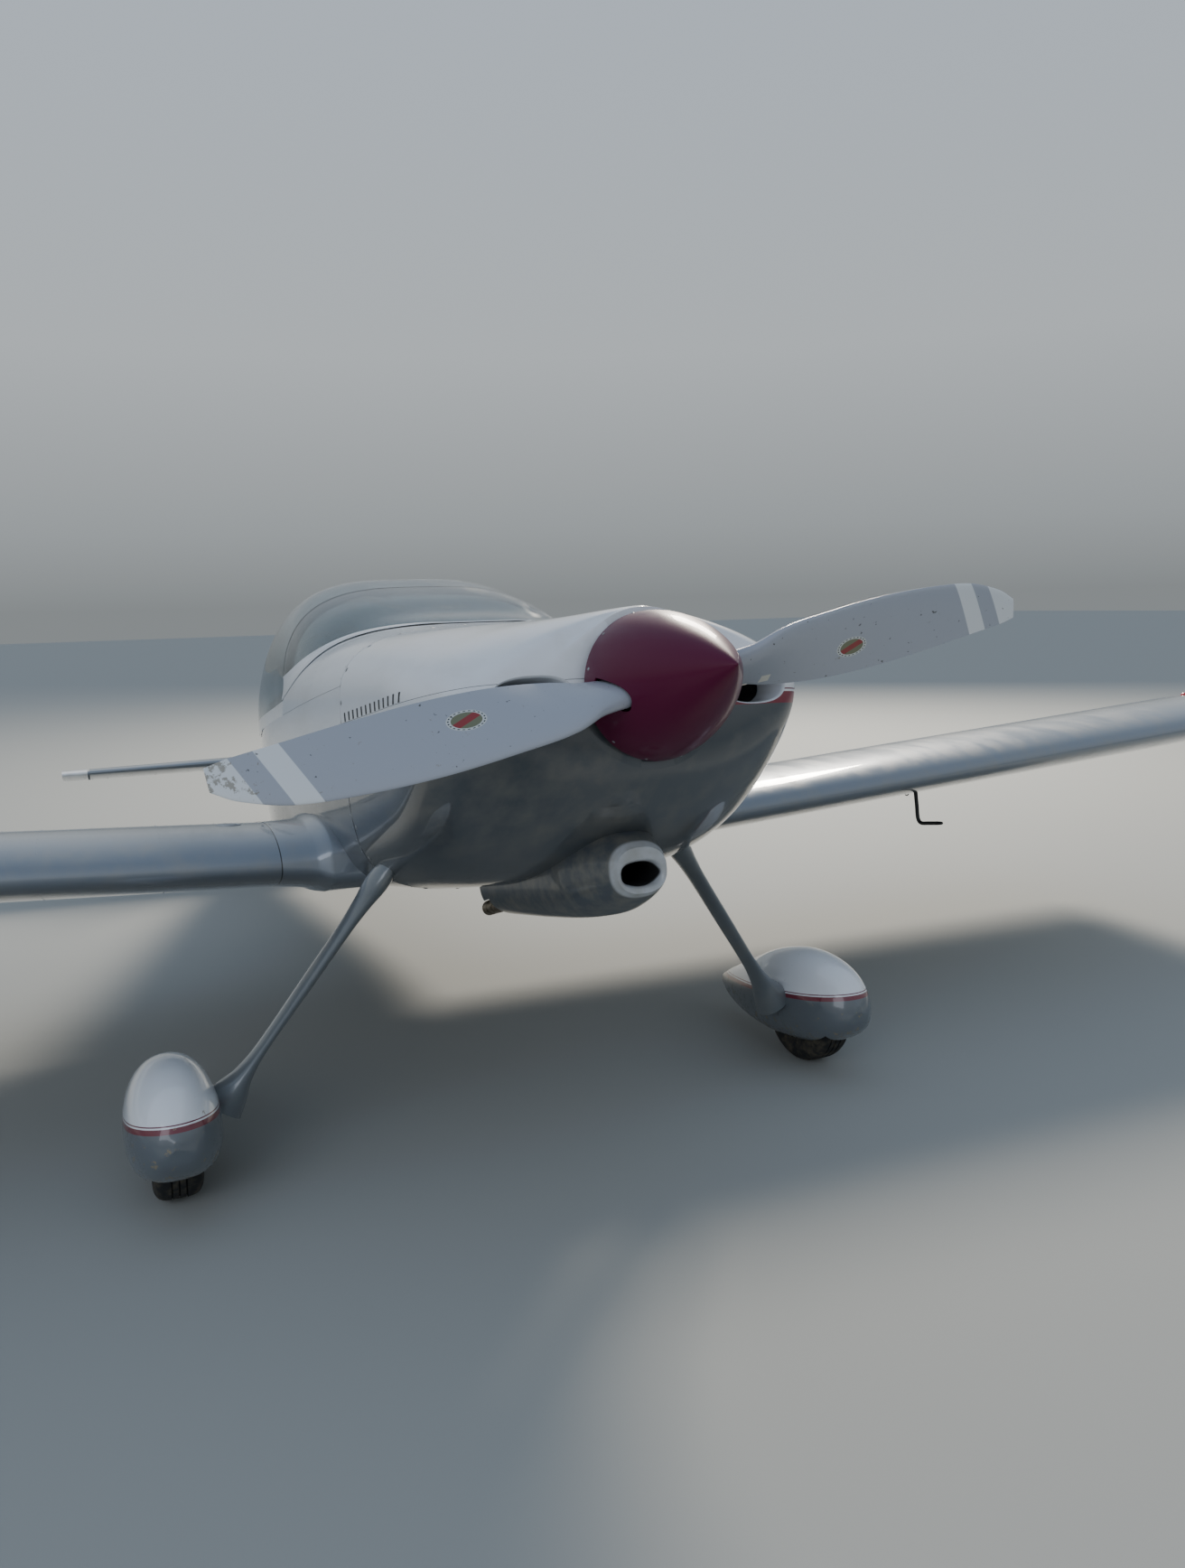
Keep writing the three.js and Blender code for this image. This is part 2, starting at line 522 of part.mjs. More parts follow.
// Fin and rudder: one outline, parted at the rudder post
function finRing(z, grow) {
  const share = (z - FIN.footZ) / (FIN.topZ - FIN.footZ);
  const nose = THREE.MathUtils.lerp(FIN.footY, FIN.topY, share);
  const end = THREE.MathUtils.lerp(FIN.endFootY, FIN.endTopY, share);
  return airfoil(end - nose, 0.068, 0, grow).map(([y, x]) => [x, nose + y, z]);
}
const finBody = (grow = 0) => loft([finRing(FIN.footZ, grow), finRing(FIN.topZ, grow)]);
const RUDDER_NOSE = { foot: 33, top: 20 };
const rudderLine = (grow, low = FIN.footZ - 50, high = FIN.topZ + 20) =>
  rod([0, TAIL_POST_Y, low], [0, TAIL_POST_Y, high], RUDDER_NOSE.foot + grow, RUDDER_NOSE.top + grow, 18);
const rudderCove = () => join(
  rudderLine(RUNNING_GAP), box([-300, 300], [TAIL_POST_Y, 5200], [FIN.footZ - 60, FIN.topZ + 60]));

function makeFin() {
  const hinges = [300, 690].map((z) => rudderHinge(z, 55));
  const above = both(finBody(), box(WIDE, [3000, 5000], [116 + JOINT_GAP, FIN.hornZ - 10]));
  const fin = cut(above, hullClear, tailBody(JOINT_GAP), elevatorPassage, rudderCove());
  add('fin', join(fin, ...hinges.map((hinge) => hinge.bracket)), white);

  const aft = box([-300, 300], [TAIL_POST_Y, 5200], [FIN.footZ, FIN.topZ]);
  const horn = box([-300, 300], [3000, 5200], [FIN.hornZ, FIN.topZ]);
  const moving = both(finBody(), join(rudderLine(0), aft, horn));
  const surface = cut(moving, ...[...hinges, footHinge].map((hinge) => hinge.slot));
  add('rudder', join(surface, ...[...hinges, footHinge].map((hinge) => hinge.pin)), white);
}

// Wings: the panel, its tip, and the flap and aileron cut from the same section
const CONTROLS = [
  { name: 'flap', ...FLAP, low: true, hinges: [0.12, 0.88] },
  { name: 'aileron', ...AILERON, low: false, hinges: [0.2, 0.8] },
];

// The hinge line of a control surface, and the radius of its nose about that line
function hingeLine(control) {
  const y = WING.chord - control.chord;
  const { middle, half } = wingAt(y);
  const height = control.low ? middle - half + PIN.eye + 1 : middle;
  const nose = control.low ? 2 * half - PIN.eye - 2 : half - 1;
  return { y, height, nose };
}

function makeWing(side) {
  const word = side > 0 ? 'left' : 'right';
  const whole = loft([wingRing(side * 380), wingRing(side * WING.seamX)]);
  const flare = loft(ROOT_FAIRING.map(([x, grow]) => wingRing(side * x, grow)));
  const fairing = both(flare, box(WIDE, [-300, WING.chord - FLAP.chord - 20], [FAIRING_LOW, 900]));
  let panel = cut(join(whole, fairing), hullClear);
  for (const control of CONTROLS) {
    const { innerX, outerX, low } = control;
    const { y, height, nose } = hingeLine(control);
    const point = (x) => [side * x, y, wingZ(x) + height];
    const barrel = (radius, grow) => rod(point(innerX - grow), point(outerX + grow), radius, radius, 20);
    const aft = (grow) => wingSlab(side, innerX - grow, outerX + grow, y, 1600);
    const across = new THREE.Vector3(...point(outerX)).sub(new THREE.Vector3(...point(innerX)));
    const hinges = control.hinges.map((share) => {
      const x = THREE.MathUtils.lerp(innerX, outerX, share);
      const foot = [side * x, y - nose - RUNNING_GAP - 12, wingZ(x) + height + (low ? 4 : 0)];
      return hingeAt(point(x), foot, across.toArray(), 20);
    });
    const section = loft([wingRing(side * 400), wingRing(side * WING.seamX)]);
    const moving = both(section, join(barrel(nose, 0), aft(0)));
    const trimmed = both(moving, wingSlab(side, innerX, outerX, y - 200, 1600));
    const surface = cut(trimmed, ...hinges.map((hinge) => hinge.slot));
    add(`${control.name}_${word}`, join(surface, ...hinges.map((hinge) => hinge.pin)), silver);
    panel = cut(panel, barrel(nose + RUNNING_GAP, RUNNING_GAP), aft(RUNNING_GAP));
    panel = join(panel, ...hinges.map((hinge) => hinge.bracket));
  }
  const skin = wingZ(TIE_DOWN.x) + wingAt(TIE_DOWN.y).middle - wingAt(TIE_DOWN.y).half;
  const pad = [side * TIE_DOWN.x, TIE_DOWN.y];
  panel = join(panel, rod([...pad, skin + 25], [...pad, skin - TIE_DOWN.proud], TIE_DOWN.radius));
  panel = both(panel, wingSlab(side, 300, WING.seamX, -200, WING.chord + 50, 250, 250));
  add(`wing_${word}`, panel, silver);

  // Wing tip: x, share of thickness, nose set back, end set forward
  const tipRows = [
    [WING.seamX + JOINT_GAP, 1, 0, 0],
    [WING.seamX + 45, 0.86, 14, 4],
    [WING.seamX + 85, 0.55, 48, 14],
    [WING.tipX, 0.2, 110, 34],
  ];
  const tip = loft(tipRows.map(([x, share, back, forward]) =>
    airfoil(WING.chord - back - forward, WING.thick * share, WING.camber)
      .map(([y, z]) => [side * x, back + y, wingZ(x) + z])));
  add(`wing_tip_${word}`, tip, grey);
}

// Landing gear: a leg in its fairing, the axle, and the wheel under its pant
const LEG_FOOT = [AXLE.x - 103, AXLE.y + 20, AXLE.z + 2];

// A lens across the leg, chord along y
function legRing(x, y, z, chord, thick, side) {
  const lean = Math.atan2(LEG_TOP[2] - LEG_FOOT[2], LEG_FOOT[0] - LEG_TOP[0]);
  return Array.from({ length: 14 }, (_, i) => {
    const angle = 2 * Math.PI * i / 14;
    const along = Math.cos(angle) * chord / 2;
    const off = Math.sin(angle) * thick / 2;
    return [side * (x + off * Math.sin(lean)), y + along, z + off * Math.cos(lean)];
  });
}

// The leg, its flared cuff under the belly and the one at the pant: share of the way down, chord, thickness
const LEG = [[0, 90, 36], [0.12, 94, 36], [0.95, 84, 30], [1, 64, 30]];
const BELLY_CUFF = [[0.1, 142, 92], [0.15, 118, 62], [0.26, 93, 37]];
const PANT_CUFF = [[0.75, 87, 31], [0.84, 104, 52], [0.9, 130, 92], [0.96, 150, 124]];

function legBody(side, tables, grow = 0) {
  return join(...tables.map((rows) => loft(rows.map(([share, chord, thick]) => {
    const [x, y, z] = LEG_TOP.map((value, k) => THREE.MathUtils.lerp(value, LEG_FOOT[k], share));
    return legRing(x, y, z, chord + 2 * grow, thick + 2 * grow, side);
  }))));
}

// Pant: distance ahead of the axle, half width, top, bottom
const PANT = [
  [290, 10, 40, 16],
  [278, 45, 78, -24],
  [240, 82, 126, -62],
  [180, 108, 162, -88],
  [100, 120, 187, -104],
  [0, 122, 195, -108],
  [-140, 116, 176, -102],
  [-300, 88, 126, -78],
  [-450, 48, 78, -38],
  [-545, 12, 42, 8],
];

function pantBody(side, grow = 0) {
  return loft(PANT.map(([ahead, half, top, low]) =>
    ring([-ahead, half, top, low, (top + low) / 4, 2.1, 2.6], grow, 20)
      .map(([x, y, z]) => [side * AXLE.x + x, AXLE.y + y, AXLE.z + z])));
}

function makeGear(side) {
  const word = side > 0 ? 'left' : 'right';
  const [x, y, z] = [AXLE.x, AXLE.y, AXLE.z];
  const axle = rod([side * (LEG_FOOT[0] - 20), y, z], [side * (x + 110), y, z], AXLE.radius, AXLE.radius, 24);
  const flange = rod([side * (x - 84), y, z], [side * (x - 76), y, z], 46, 46, 16);
  const [topX, topY, topZ] = LEG_TOP;
  const stubEnd = FIREWALL_Y - SOCKET.depth - JOINT_GAP;
  const stub = rod([side * topX, topY + 10, topZ], [side * topX, stubEnd, topZ], 22);
  const cabin = both(hullClear, box(WIDE, [FIREWALL_Y, 1000], [-900, 900]));
  const cabinRoom = cabin.translate(0, -2 * JOINT_GAP, 0);
  const leg = cut(legBody(side, [LEG, BELLY_CUFF]), cabinRoom);
  const pantCuff = cut(legBody(side, [PANT_CUFF]), pantBody(side, JOINT_GAP));
  add(`gear_leg_${word}`, join(leg, pantCuff, axle, flange, stub), grey);

  const hollow = pantBody(side, -6);
  const wellHalf = TYRE.width / 2 + 12;
  const well = box([side * x - wellHalf, side * x + wellHalf], [y - 205, y + 205], [z - 400, z]);
  const axleRadius = AXLE.radius + JOINT_GAP;
  const axleEnd = x + 110 + JOINT_GAP;
  const axleRoom = rod([side * (x - 300), y, z], [side * axleEnd, y, z], axleRadius, axleRadius, 24);
  const flangeRoom = rod([side * (x - 90), y, z], [side * (x - 70), y, z], 52);
  const core = both(hollow, box([side * x - 300, side * x + 300], [y - 330, y + 420], [z - 300, z + 300]));
  const boss = rod([side * (x + 95), y, z], [side * (x + 124), y, z], 24);
  const shell = join(cut(pantBody(side), core, well), both(boss, pantBody(side)));
  add(`wheel_pant_${word}`, cut(shell, legBody(side, [LEG], JOINT_GAP), axleRoom, flangeRoom), white);
}

function makeWheel(side) {
  const word = side > 0 ? 'left' : 'right';
  const half = TYRE.width / 2;
  const [outer, inner] = [TYRE.radius, TYRE.rimRadius];
  const tyreProfile = [
    [inner, -half * 0.62], [inner + 24, -half * 0.94], [inner + 50, -half], [outer - 16, -half * 0.84],
    [outer, -half * 0.4], [outer, half * 0.4], [outer - 16, half * 0.84],
    [inner + 50, half], [inner + 24, half * 0.94], [inner, half * 0.62], [inner, -half * 0.62],
  ];
  const rim = inner - JOINT_GAP;
  const rimProfile = [
    [AXLE.radius + 0.6, -52], [34, -52], [36, -18], [70, -18], [rim, -44],
    [rim, 44], [70, 18], [36, 18], [34, 52], [AXLE.radius + 0.6, 52], [AXLE.radius + 0.6, -52],
  ];
  const place = (name, solid, material) => {
    const mesh = new THREE.Mesh(geometryFrom(solid), material);
    mesh.name = name;
    mesh.rotation.z = Math.PI / 2;
    mesh.position.set(side * AXLE.x, AXLE.y, AXLE.z);
    parts.add(mesh);
  };
  place(`tyre_${word}`, turned(tyreProfile, 20), rubber);
  place(`wheel_rim_${word}`, turned(rimProfile, 20), alloy);
}

// Tailwheel on its spring and steering fork, square to the ground
const GROUND_TILT = THREE.MathUtils.degToRad(DECK_ANGLE);
const groundUp = new THREE.Vector3(0, -Math.sin(GROUND_TILT), Math.cos(GROUND_TILT));
const groundAft = new THREE.Vector3(0, Math.cos(GROUND_TILT), Math.sin(GROUND_TILT));
// A point near the tailwheel's hub: across, aft and up, as it stands
const nearTailwheel = (x, aft, up) => new THREE.Vector3(0, TAILWHEEL.y, TAILWHEEL.z)
  .addScaledVector(groundAft, aft).addScaledVector(groundUp, up).setX(x).toArray();

function makeTailwheel() {
  const trail = -58;
  const steps = [
    [[0, 4090, -30], 17], [[0, 4200, -76], 16], [[0, 4340, -138], 14], [nearTailwheel(0, trail - 12, 128), 12],
  ];
  const spring = loft(steps.map(([[x, y, z], radius]) => Array.from({ length: 16 }, (_, i) => {
    const across = radius * Math.cos(2 * Math.PI * i / 16);
    const up = radius * Math.sin(2 * Math.PI * i / 16);
    return [x + 1.4 * across, y + 0.4 * up, z + up];
  })));
  const housing = rod(nearTailwheel(0, trail, 104), nearTailwheel(0, trail, 150), 20, 20, 24);
  const bore = rod(nearTailwheel(0, trail, 90), nearTailwheel(0, trail, 146), 9, 9, 20);
  const coneEnd = both(hullClear, box(WIDE, [3500, 4300], [-900, 900]));
  add('tail_spring', cut(join(spring, housing), bore, coneEnd), steel);

  const pin = rod(nearTailwheel(0, trail, 95), nearTailwheel(0, trail, 140), 8.4, 8.4, 20);
  const crown = rod(nearTailwheel(0, trail, 86), nearTailwheel(0, trail, 104 - 0.6), 22, 22, 24);
  const arms = [-1, 1].map((side) => {
    const x = side * (TAILWHEEL.width / 2 + 10);
    const outline = [[trail - 18, 99], [trail + 18, 99], [14, -10], [-14, -10]];
    return loft([x - 3, x + 3].map((at) => outline.map(([aft, up]) => nearTailwheel(at, aft, up))));
  });
  const bridgeOutline = [[trail - 18, 88], [trail + 18, 88], [trail + 18, 98], [trail - 18, 98]];
  const bridge = loft([-38, 38].map((x) => bridgeOutline.map(([aft, up]) => nearTailwheel(x, aft, up))));
  const axle = rod(nearTailwheel(-40, 0, 0), nearTailwheel(40, 0, 0), 6, 6, 16);
  const steering = rod(nearTailwheel(-75, trail, 93), nearTailwheel(75, trail, 93), 5, 5, 12);
  add('tailwheel_fork', join(pin, crown, bridge, ...arms, axle, steering), steel);

  const half = TAILWHEEL.width / 2;
  const profile = [
    [6.6, -half], [40, -half], [TAILWHEEL.radius - 12, -half + 2], [TAILWHEEL.radius, -half + 16],
    [TAILWHEEL.radius, half - 16], [TAILWHEEL.radius - 12, half - 2], [40, half], [6.6, half], [6.6, -half],
  ];
  const wheel = new THREE.Mesh(geometryFrom(turned(profile, 20)), rubber);
  wheel.name = 'tailwheel';
  wheel.rotation.z = Math.PI / 2;
  wheel.position.set(0, TAILWHEEL.y, TAILWHEEL.z);
  parts.add(wheel);
}

// Propeller: two swept blades on a hub, and the pointed spinner over them
// Blade rows: radius, chord, leading edge ahead of the pitch line, thickness
const BLADE = [
  [55, 76, 38, 44],
  [170, 112, 54, 36],
  [250, 151, 81, 30],
  [375, 163, 88, 23],
  [525, 162, 93, 17],
  [670, 145, 89, 12.5],
  [800, 118, 76, 9],
  [890, 79, 46, 6.5],
  [PROP.radius, 45, 20, 4.5],
];

function bladeBody(side, grow = 0) {
  return loft(BLADE.map(([radius, chord, lead, thick]) => {
    const pitch = Math.atan(PROP.pitch / (2 * Math.PI * Math.max(radius, 190)));
    const section = airfoil(chord + 2 * grow, (thick + 2 * grow) / (chord + 2 * grow), 0, 0, 0.8);
    return section.map(([along, off]) => {
      const ahead = lead + grow - along;
      const y = PROP.y - ahead * Math.sin(pitch) + off * Math.cos(pitch);
      const z = ahead * Math.cos(pitch) + off * Math.sin(pitch);
      return [side * radius, y, side * z];
    });
  }));
}

function makePropeller() {
  const tilt = new THREE.Group();
  const hub = (grow) => {
    const radius = PROP.hubRadius + grow;
    return rod([0, PROP.y - 58 - grow, 0], [0, SPINNER.back - 6 + grow, 0], radius, radius, 20);
  };
  const boreRadius = PROP.shaftRadius + 0.5;
  const shaft = rod([0, PROP.y - 41, 0], [0, 0, 0], boreRadius, boreRadius, 20);
  const blades = cut(join(bladeBody(1), bladeBody(-1), hub(0)), shaft);

  // Spinner outline: an ogive from the back plate to the tip
  const steps = 8;
  const profile = Array.from({ length: steps + 1 }, (_, i) => {
    const t = i / steps;
    return [SPINNER.radius * (1 - t ** SPINNER.fullness) ** SPINNER.taper, SPINNER.back - SPINNER.length * t];
  });
  const outline = [[0, SPINNER.back], ...profile];
  const bore = rod([0, SPINNER.back - 20, 0], [0, SPINNER.back + 20, 0], boreRadius, boreRadius, 20);
  const shell = cut(turned(outline, 28), bladeBody(1, 5), bladeBody(-1, 5), hub(JOINT_GAP), bore);
  const place = (name, solid, material) => {
    const mesh = new THREE.Mesh(geometryFrom(solid), material);
    mesh.name = name;
    tilt.add(mesh);
  };
  place('propeller', blades, bladeGrey);
  place('spinner', shell, plum);
  tilt.rotation.y = -THREE.MathUtils.degToRad(PROP.tilt);
  parts.add(tilt);
}

// Pitot tube under the port wing, and the two exhaust pipes under the cowling
const PITOT = { x: 1663, y: 153 };
const EXHAUST = [
  [170, -520, ENGINE.low + 5],
  [168, -518, -300],
  [100, -420, -440],
  [88, -300, -488],
  [88, -60, -530],
];

function makeSmallParts() {
  const { x, y } = PITOT;
  const top = wingZ(x) + wingAt(y).middle - wingAt(y).half;
  const steps = [[0, 30], [0, -50], [0, -97], [-13, -113], [-53, -115], [-129, -115]];
  const mast = bentRod(steps.map(([aft, up]) => [x, y + aft, top + up]), 7, 16, 6);
  add('pitot_tube', cut(mast, loft([wingRing(1500, JOINT_GAP), wingRing(1800, JOINT_GAP)])), black);
  const engineRoom = box(
    [-ENGINE.half, ENGINE.half], [ENGINE.front, ENGINE.back], [ENGINE.low - JOINT_GAP, ENGINE.top]);
  for (const side of [-1, 1]) {
    const route = EXHAUST.map(([x, y, z]) => [side * x, y, z]);
    const bore = rod([side * 88, -120, -519.5], [side * 88, -40, -533.6], 19);
    const word = side > 0 ? 'left' : 'right';
    add(`exhaust_pipe_${word}`, cut(bentRod(route, 22, 12, 8), bore, engineRoom), steel);
  }
}

makeCabin();
makeSeats();
makeFirewall();
makeEngine();
makeCowling();
makeCanopy();
makeTailCone();
makeTailplane();
makeFin();
for (const side of [1, -1]) {
  makeWing(side);
  makeGear(side);
  makeWheel(side);
}
makeTailwheel();
makePropeller();
makeSmallParts();

// The aircraft stands nose up on its three wheels, its middle over the origin
const aircraft = new THREE.Group();
parts.rotation.x = -GROUND_TILT;
aircraft.add(parts);
aircraft.updateMatrixWorld(true);
const reach = new THREE.Box3().setFromObject(aircraft, true);
parts.position.set(0, -(reach.min.y + reach.max.y) / 2, -reach.min.z);
aircraft.updateMatrixWorld(true);

export default aircraft;
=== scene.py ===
# %% [markdown]
# A light aircraft of riveted aluminium stands on its own wheels, nose up. The packed part comes in as
# a fixed frame, and each new piece is drawn in the aircraft's level axes: x to port, y aft from the
# wing's leading edge and z up from the propeller shaft, in millimetres. That is how a maker's plans
# give every station, so one function turns such points into the frame's metres.

# %% The frame and the plan's axes
import json
import math
import bpy
import numpy as np
from mathutils import Matrix, Vector


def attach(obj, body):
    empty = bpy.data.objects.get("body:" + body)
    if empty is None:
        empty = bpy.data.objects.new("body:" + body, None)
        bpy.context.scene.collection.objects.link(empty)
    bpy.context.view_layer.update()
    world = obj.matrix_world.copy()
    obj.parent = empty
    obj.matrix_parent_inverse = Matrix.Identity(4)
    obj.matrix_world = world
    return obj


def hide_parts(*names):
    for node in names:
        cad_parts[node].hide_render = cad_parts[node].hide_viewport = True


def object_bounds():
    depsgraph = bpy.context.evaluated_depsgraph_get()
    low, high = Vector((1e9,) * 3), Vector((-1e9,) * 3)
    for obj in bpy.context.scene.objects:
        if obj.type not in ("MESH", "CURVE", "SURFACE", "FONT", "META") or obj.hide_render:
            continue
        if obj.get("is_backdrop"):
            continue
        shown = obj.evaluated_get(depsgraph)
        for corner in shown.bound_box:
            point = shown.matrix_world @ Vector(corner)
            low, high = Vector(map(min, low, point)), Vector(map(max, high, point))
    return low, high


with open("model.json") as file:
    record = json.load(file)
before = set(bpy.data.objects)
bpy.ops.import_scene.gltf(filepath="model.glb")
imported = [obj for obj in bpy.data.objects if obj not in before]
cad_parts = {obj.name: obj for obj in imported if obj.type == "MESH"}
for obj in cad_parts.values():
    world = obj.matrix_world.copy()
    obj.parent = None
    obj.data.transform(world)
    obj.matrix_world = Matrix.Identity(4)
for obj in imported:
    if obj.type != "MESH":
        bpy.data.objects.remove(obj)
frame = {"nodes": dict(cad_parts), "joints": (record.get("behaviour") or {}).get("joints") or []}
start_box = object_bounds()
DECK = math.radians(10)
JOINTS = {joint["name"]: joint for joint in frame["joints"]}
WHEEL = {"x": 1000, "y": -10, "z": -1001, "radius": 178, "width": 127, "rim": 82}
# Port is +x and is the pilot's left
SIDES, MIRROR = ((1, "left"), (-1, "right")), np.array([-1, 1, 1])
# Edges sharper than this stay sharp, in degrees
CREASE = 32


def turn(points):
    """Level millimetres turned nose up about x by the deck angle, in metres."""
    p = np.asarray(points, float)
    y = p[..., 1] * math.cos(DECK) + p[..., 2] * math.sin(DECK)
    z = -p[..., 1] * math.sin(DECK) + p[..., 2] * math.cos(DECK)
    return np.stack([p[..., 0], y, z], -1) / 1000


SHIFT = np.array(JOINTS["wheel_left_spin"]["pos_m"]) - turn([WHEEL["x"], WHEEL["y"], WHEEL["z"]])


def place(points):
    """Level millimetres to the frame's metres: turned, then shifted so that one wheel's hub agrees."""
    return turn(points) + SHIFT


print("shift of the level axes, m:", SHIFT.round(4), "CAD nodes:", len(frame["nodes"]))

# %% [markdown]
# The camera stands low ahead of the starboard wing, as the photographer did. Its place and direction
# were worked out in level axes from the propeller's disc, the wing's edges and the wheel fairings.
# A camera matrix could be set by angles, but three direction vectors need no order of turns.

# %% Camera
def unit(vector):
    """A vector of length one."""
    return np.asarray(vector, float) / np.linalg.norm(vector)


forward = unit(turn([393.5, 919.32, -2.28]))
upward = turn([86.73, -34.65, 995.63])
upward = unit(upward - forward * (upward @ forward))
camera = bpy.data.objects.new("camera", bpy.data.cameras.new("camera"))
bpy.context.scene.collection.objects.link(camera)
pose = np.eye(4)
pose[:3, 0], pose[:3, 1], pose[:3, 2] = np.cross(forward, upward), upward, -forward
pose[:3, 3] = place([-1075.7, -3217.3, -189.7])
camera.matrix_world = Matrix(pose.tolist())
camera.data.sensor_fit = "VERTICAL"
camera.data.sensor_height = 36
camera.data.lens = 1245.25 / 1736 * 36
camera.data.clip_end = 200
bpy.context.scene.camera = camera
print("lens, mm:", round(camera.data.lens, 2), "camera height, m:", round(float(pose[2, 3]), 3))

# %% [markdown]
# Gloss paint shows what is round it, so the light matters as much as the colour. A plain pale floor and
# a pale dome of light stand in for a photographer's tent. The dome is a little blue overhead and greyer
# near the ground, which gives the paint a soft horizon line without any picture to reflect.

# %% Floor and lights
def linear(code):
    """A hex colour as a screen shows it (sRGB) to the linear values that shaders work with."""
    parts = np.array([int(code[i:i + 2], 16) for i in (1, 3, 5)]) / 255
    return tuple(np.where(parts <= 0.04045, parts / 12.92, ((parts + 0.055) / 1.055) ** 2.4)) + (1,)


def add(tree, kind, inputs=(), **settings):
    """One node with its settings; each input is a number, a hex colour or a link from another node."""
    node = tree.nodes.new("ShaderNode" + kind)
    for key, value in settings.items():
        setattr(node, key, value)
    for source, target in inputs:
        if isinstance(source, (int, float, tuple)):
            node.inputs[target].default_value = source
        elif isinstance(source, str):
            node.inputs[target].default_value = linear(source)
        else:
            tree.links.new(getattr(source, "socket", source), node.inputs[target])
    return node


def object_from(name, points, faces, material=None):
    """A mesh object at the origin from points in metres and faces as rows of point numbers."""
    mesh = bpy.data.meshes.new(name)
    mesh.from_pydata(np.asarray(points).tolist(), [], [list(face) for face in faces])
    if material is not None:
        mesh.materials.append(material)
    piece = bpy.data.objects.new(name, mesh)
    bpy.context.scene.collection.objects.link(piece)
    return piece


world = bpy.data.worlds.new("tent")
world.use_nodes = True
bpy.context.scene.world = world
sky = world.node_tree
sky.nodes.clear()
height = add(sky, "SeparateXYZ", [(add(sky, "TexCoord").outputs["Generated"], 0)])
ramp = add(sky, "ValToRGB", [(height.outputs[2], 0)])
stops = [(0.0, "#8b9092"), (0.06, "#a2a8ab"), (0.2, "#c0c6ca"), (0.5, "#bfcbd9"), (1.0, "#9fb3cc")]
while len(ramp.color_ramp.elements) < len(stops):
    ramp.color_ramp.elements.new(0.5)
for element, (at, code) in zip(ramp.color_ramp.elements, stops):
    element.position = at
    element.color = linear(code)
backdrop = add(sky, "Background", [(ramp.outputs[0], 0), (0.95, 1)])
add(sky, "OutputWorld", [(backdrop.outputs[0], 0)])

corners = [(-60, -60, 0), (60, -60, 0), (60, 60, 0), (-60, 60, 0)]
floor_paint = bpy.data.materials.new("pale_floor")
floor_paint.use_nodes = True
shader = floor_paint.node_tree.nodes["Principled BSDF"]
shader.inputs["Base Color"].default_value = linear("#a3a5a2")
shader.inputs["Roughness"].default_value = 0.8
floor = object_from("floor", corners, [(0, 1, 2, 3)], floor_paint)
floor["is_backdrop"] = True

# x, y and z in metres, aim, size, watts, colour
LAMPS = [
    ("key_behind", (7.0, 7.5, 8.5), (0, -1, 1.2), 3.0, 2300, "#fff4e4"),
    ("front_fill", (-7.0, -9.0, 5.0), (0, -1, 1.0), 6.0, 200, "#eef3ff"),
]
for name, spot, aim, size, watts, code in LAMPS:
    lamp = bpy.data.lights.new(name, "AREA")
    lamp.energy = watts
    lamp.size = size
    lamp.color = linear(code)[:3]
    holder = bpy.data.objects.new(name, lamp)
    holder.location = spot
    holder.rotation_euler = (Vector(aim) - Vector(spot)).to_track_quat("-Z", "Y").to_euler()
    bpy.context.scene.collection.objects.link(holder)
print("lamps:", [lamp[0] for lamp in LAMPS])

# %% [markdown]
# An airframe's shapes are rings along a line, as its formers are. The fuselage ring is a superellipse:
# a rounded box whose power says how square its corners are, with one power above the waist and one
# below. Between the plan's stations each value follows a smooth cubic curve.

# %% Curves and rings
def circle(count):
    """Even angles round a circle."""
    return np.linspace(0, 2 * np.pi, count, endpoint=False)


def between(table, keys):
    """Rows of a table at new keys: a cubic through each pair of rows, with its neighbours' slopes."""
    rows = np.array(table, float)
    keys = np.atleast_1d(np.asarray(keys, float))
    number = np.arange(len(rows))
    low, high = np.maximum(number - 1, 0), np.minimum(number + 1, len(rows) - 1)
    slopes = (rows[high] - rows[low]) / (rows[high, :1] - rows[low, :1])
    order = 1 if rows[-1, 0] > rows[0, 0] else -1
    i = np.clip(np.searchsorted(order * rows[:, 0], order * keys, side="right") - 1, 0, len(rows) - 2)
    a, b, width = rows[i], rows[i + 1], (rows[i + 1, :1] - rows[i, :1])
    t = (keys[:, None] - a[:, :1]) / width
    ends = (2 * t ** 3 - 3 * t ** 2 + 1) * a + (3 * t ** 2 - 2 * t ** 3) * b
    return ends + width * ((t ** 3 - 2 * t ** 2 + t) * slopes[i] + (t ** 3 - t ** 2) * slopes[i + 1])


def rings(rows, angles, grow=0.0):
    """Superellipse points for each row (y, half width, top, low, waist, power above, power below):
    x is the half width times cos to the power 2/n, z the waist plus the reach times sin to that power."""
    y, half, top, low, waist, up, down = [column[:, None] for column in np.asarray(rows, float).T]
    angles = np.broadcast_to(np.atleast_2d(angles), (len(rows), np.shape(np.atleast_2d(angles))[1]))
    c, s = np.cos(angles), np.sin(angles)
    power = 2 / np.where(s >= 0, up, down)
    reach = np.where(s >= 0, top - waist, waist - low) + grow
    x = (half + grow) * np.sign(c) * np.abs(c) ** power
    z = waist + reach * np.sign(s) * np.abs(s) ** power
    return np.stack([x, y + 0 * x, z], -1)


def run_of(line):
    """The distance along a line of points up to each of them."""
    return np.concatenate([[0], np.cumsum(np.linalg.norm(np.diff(line, axis=0), axis=1))])


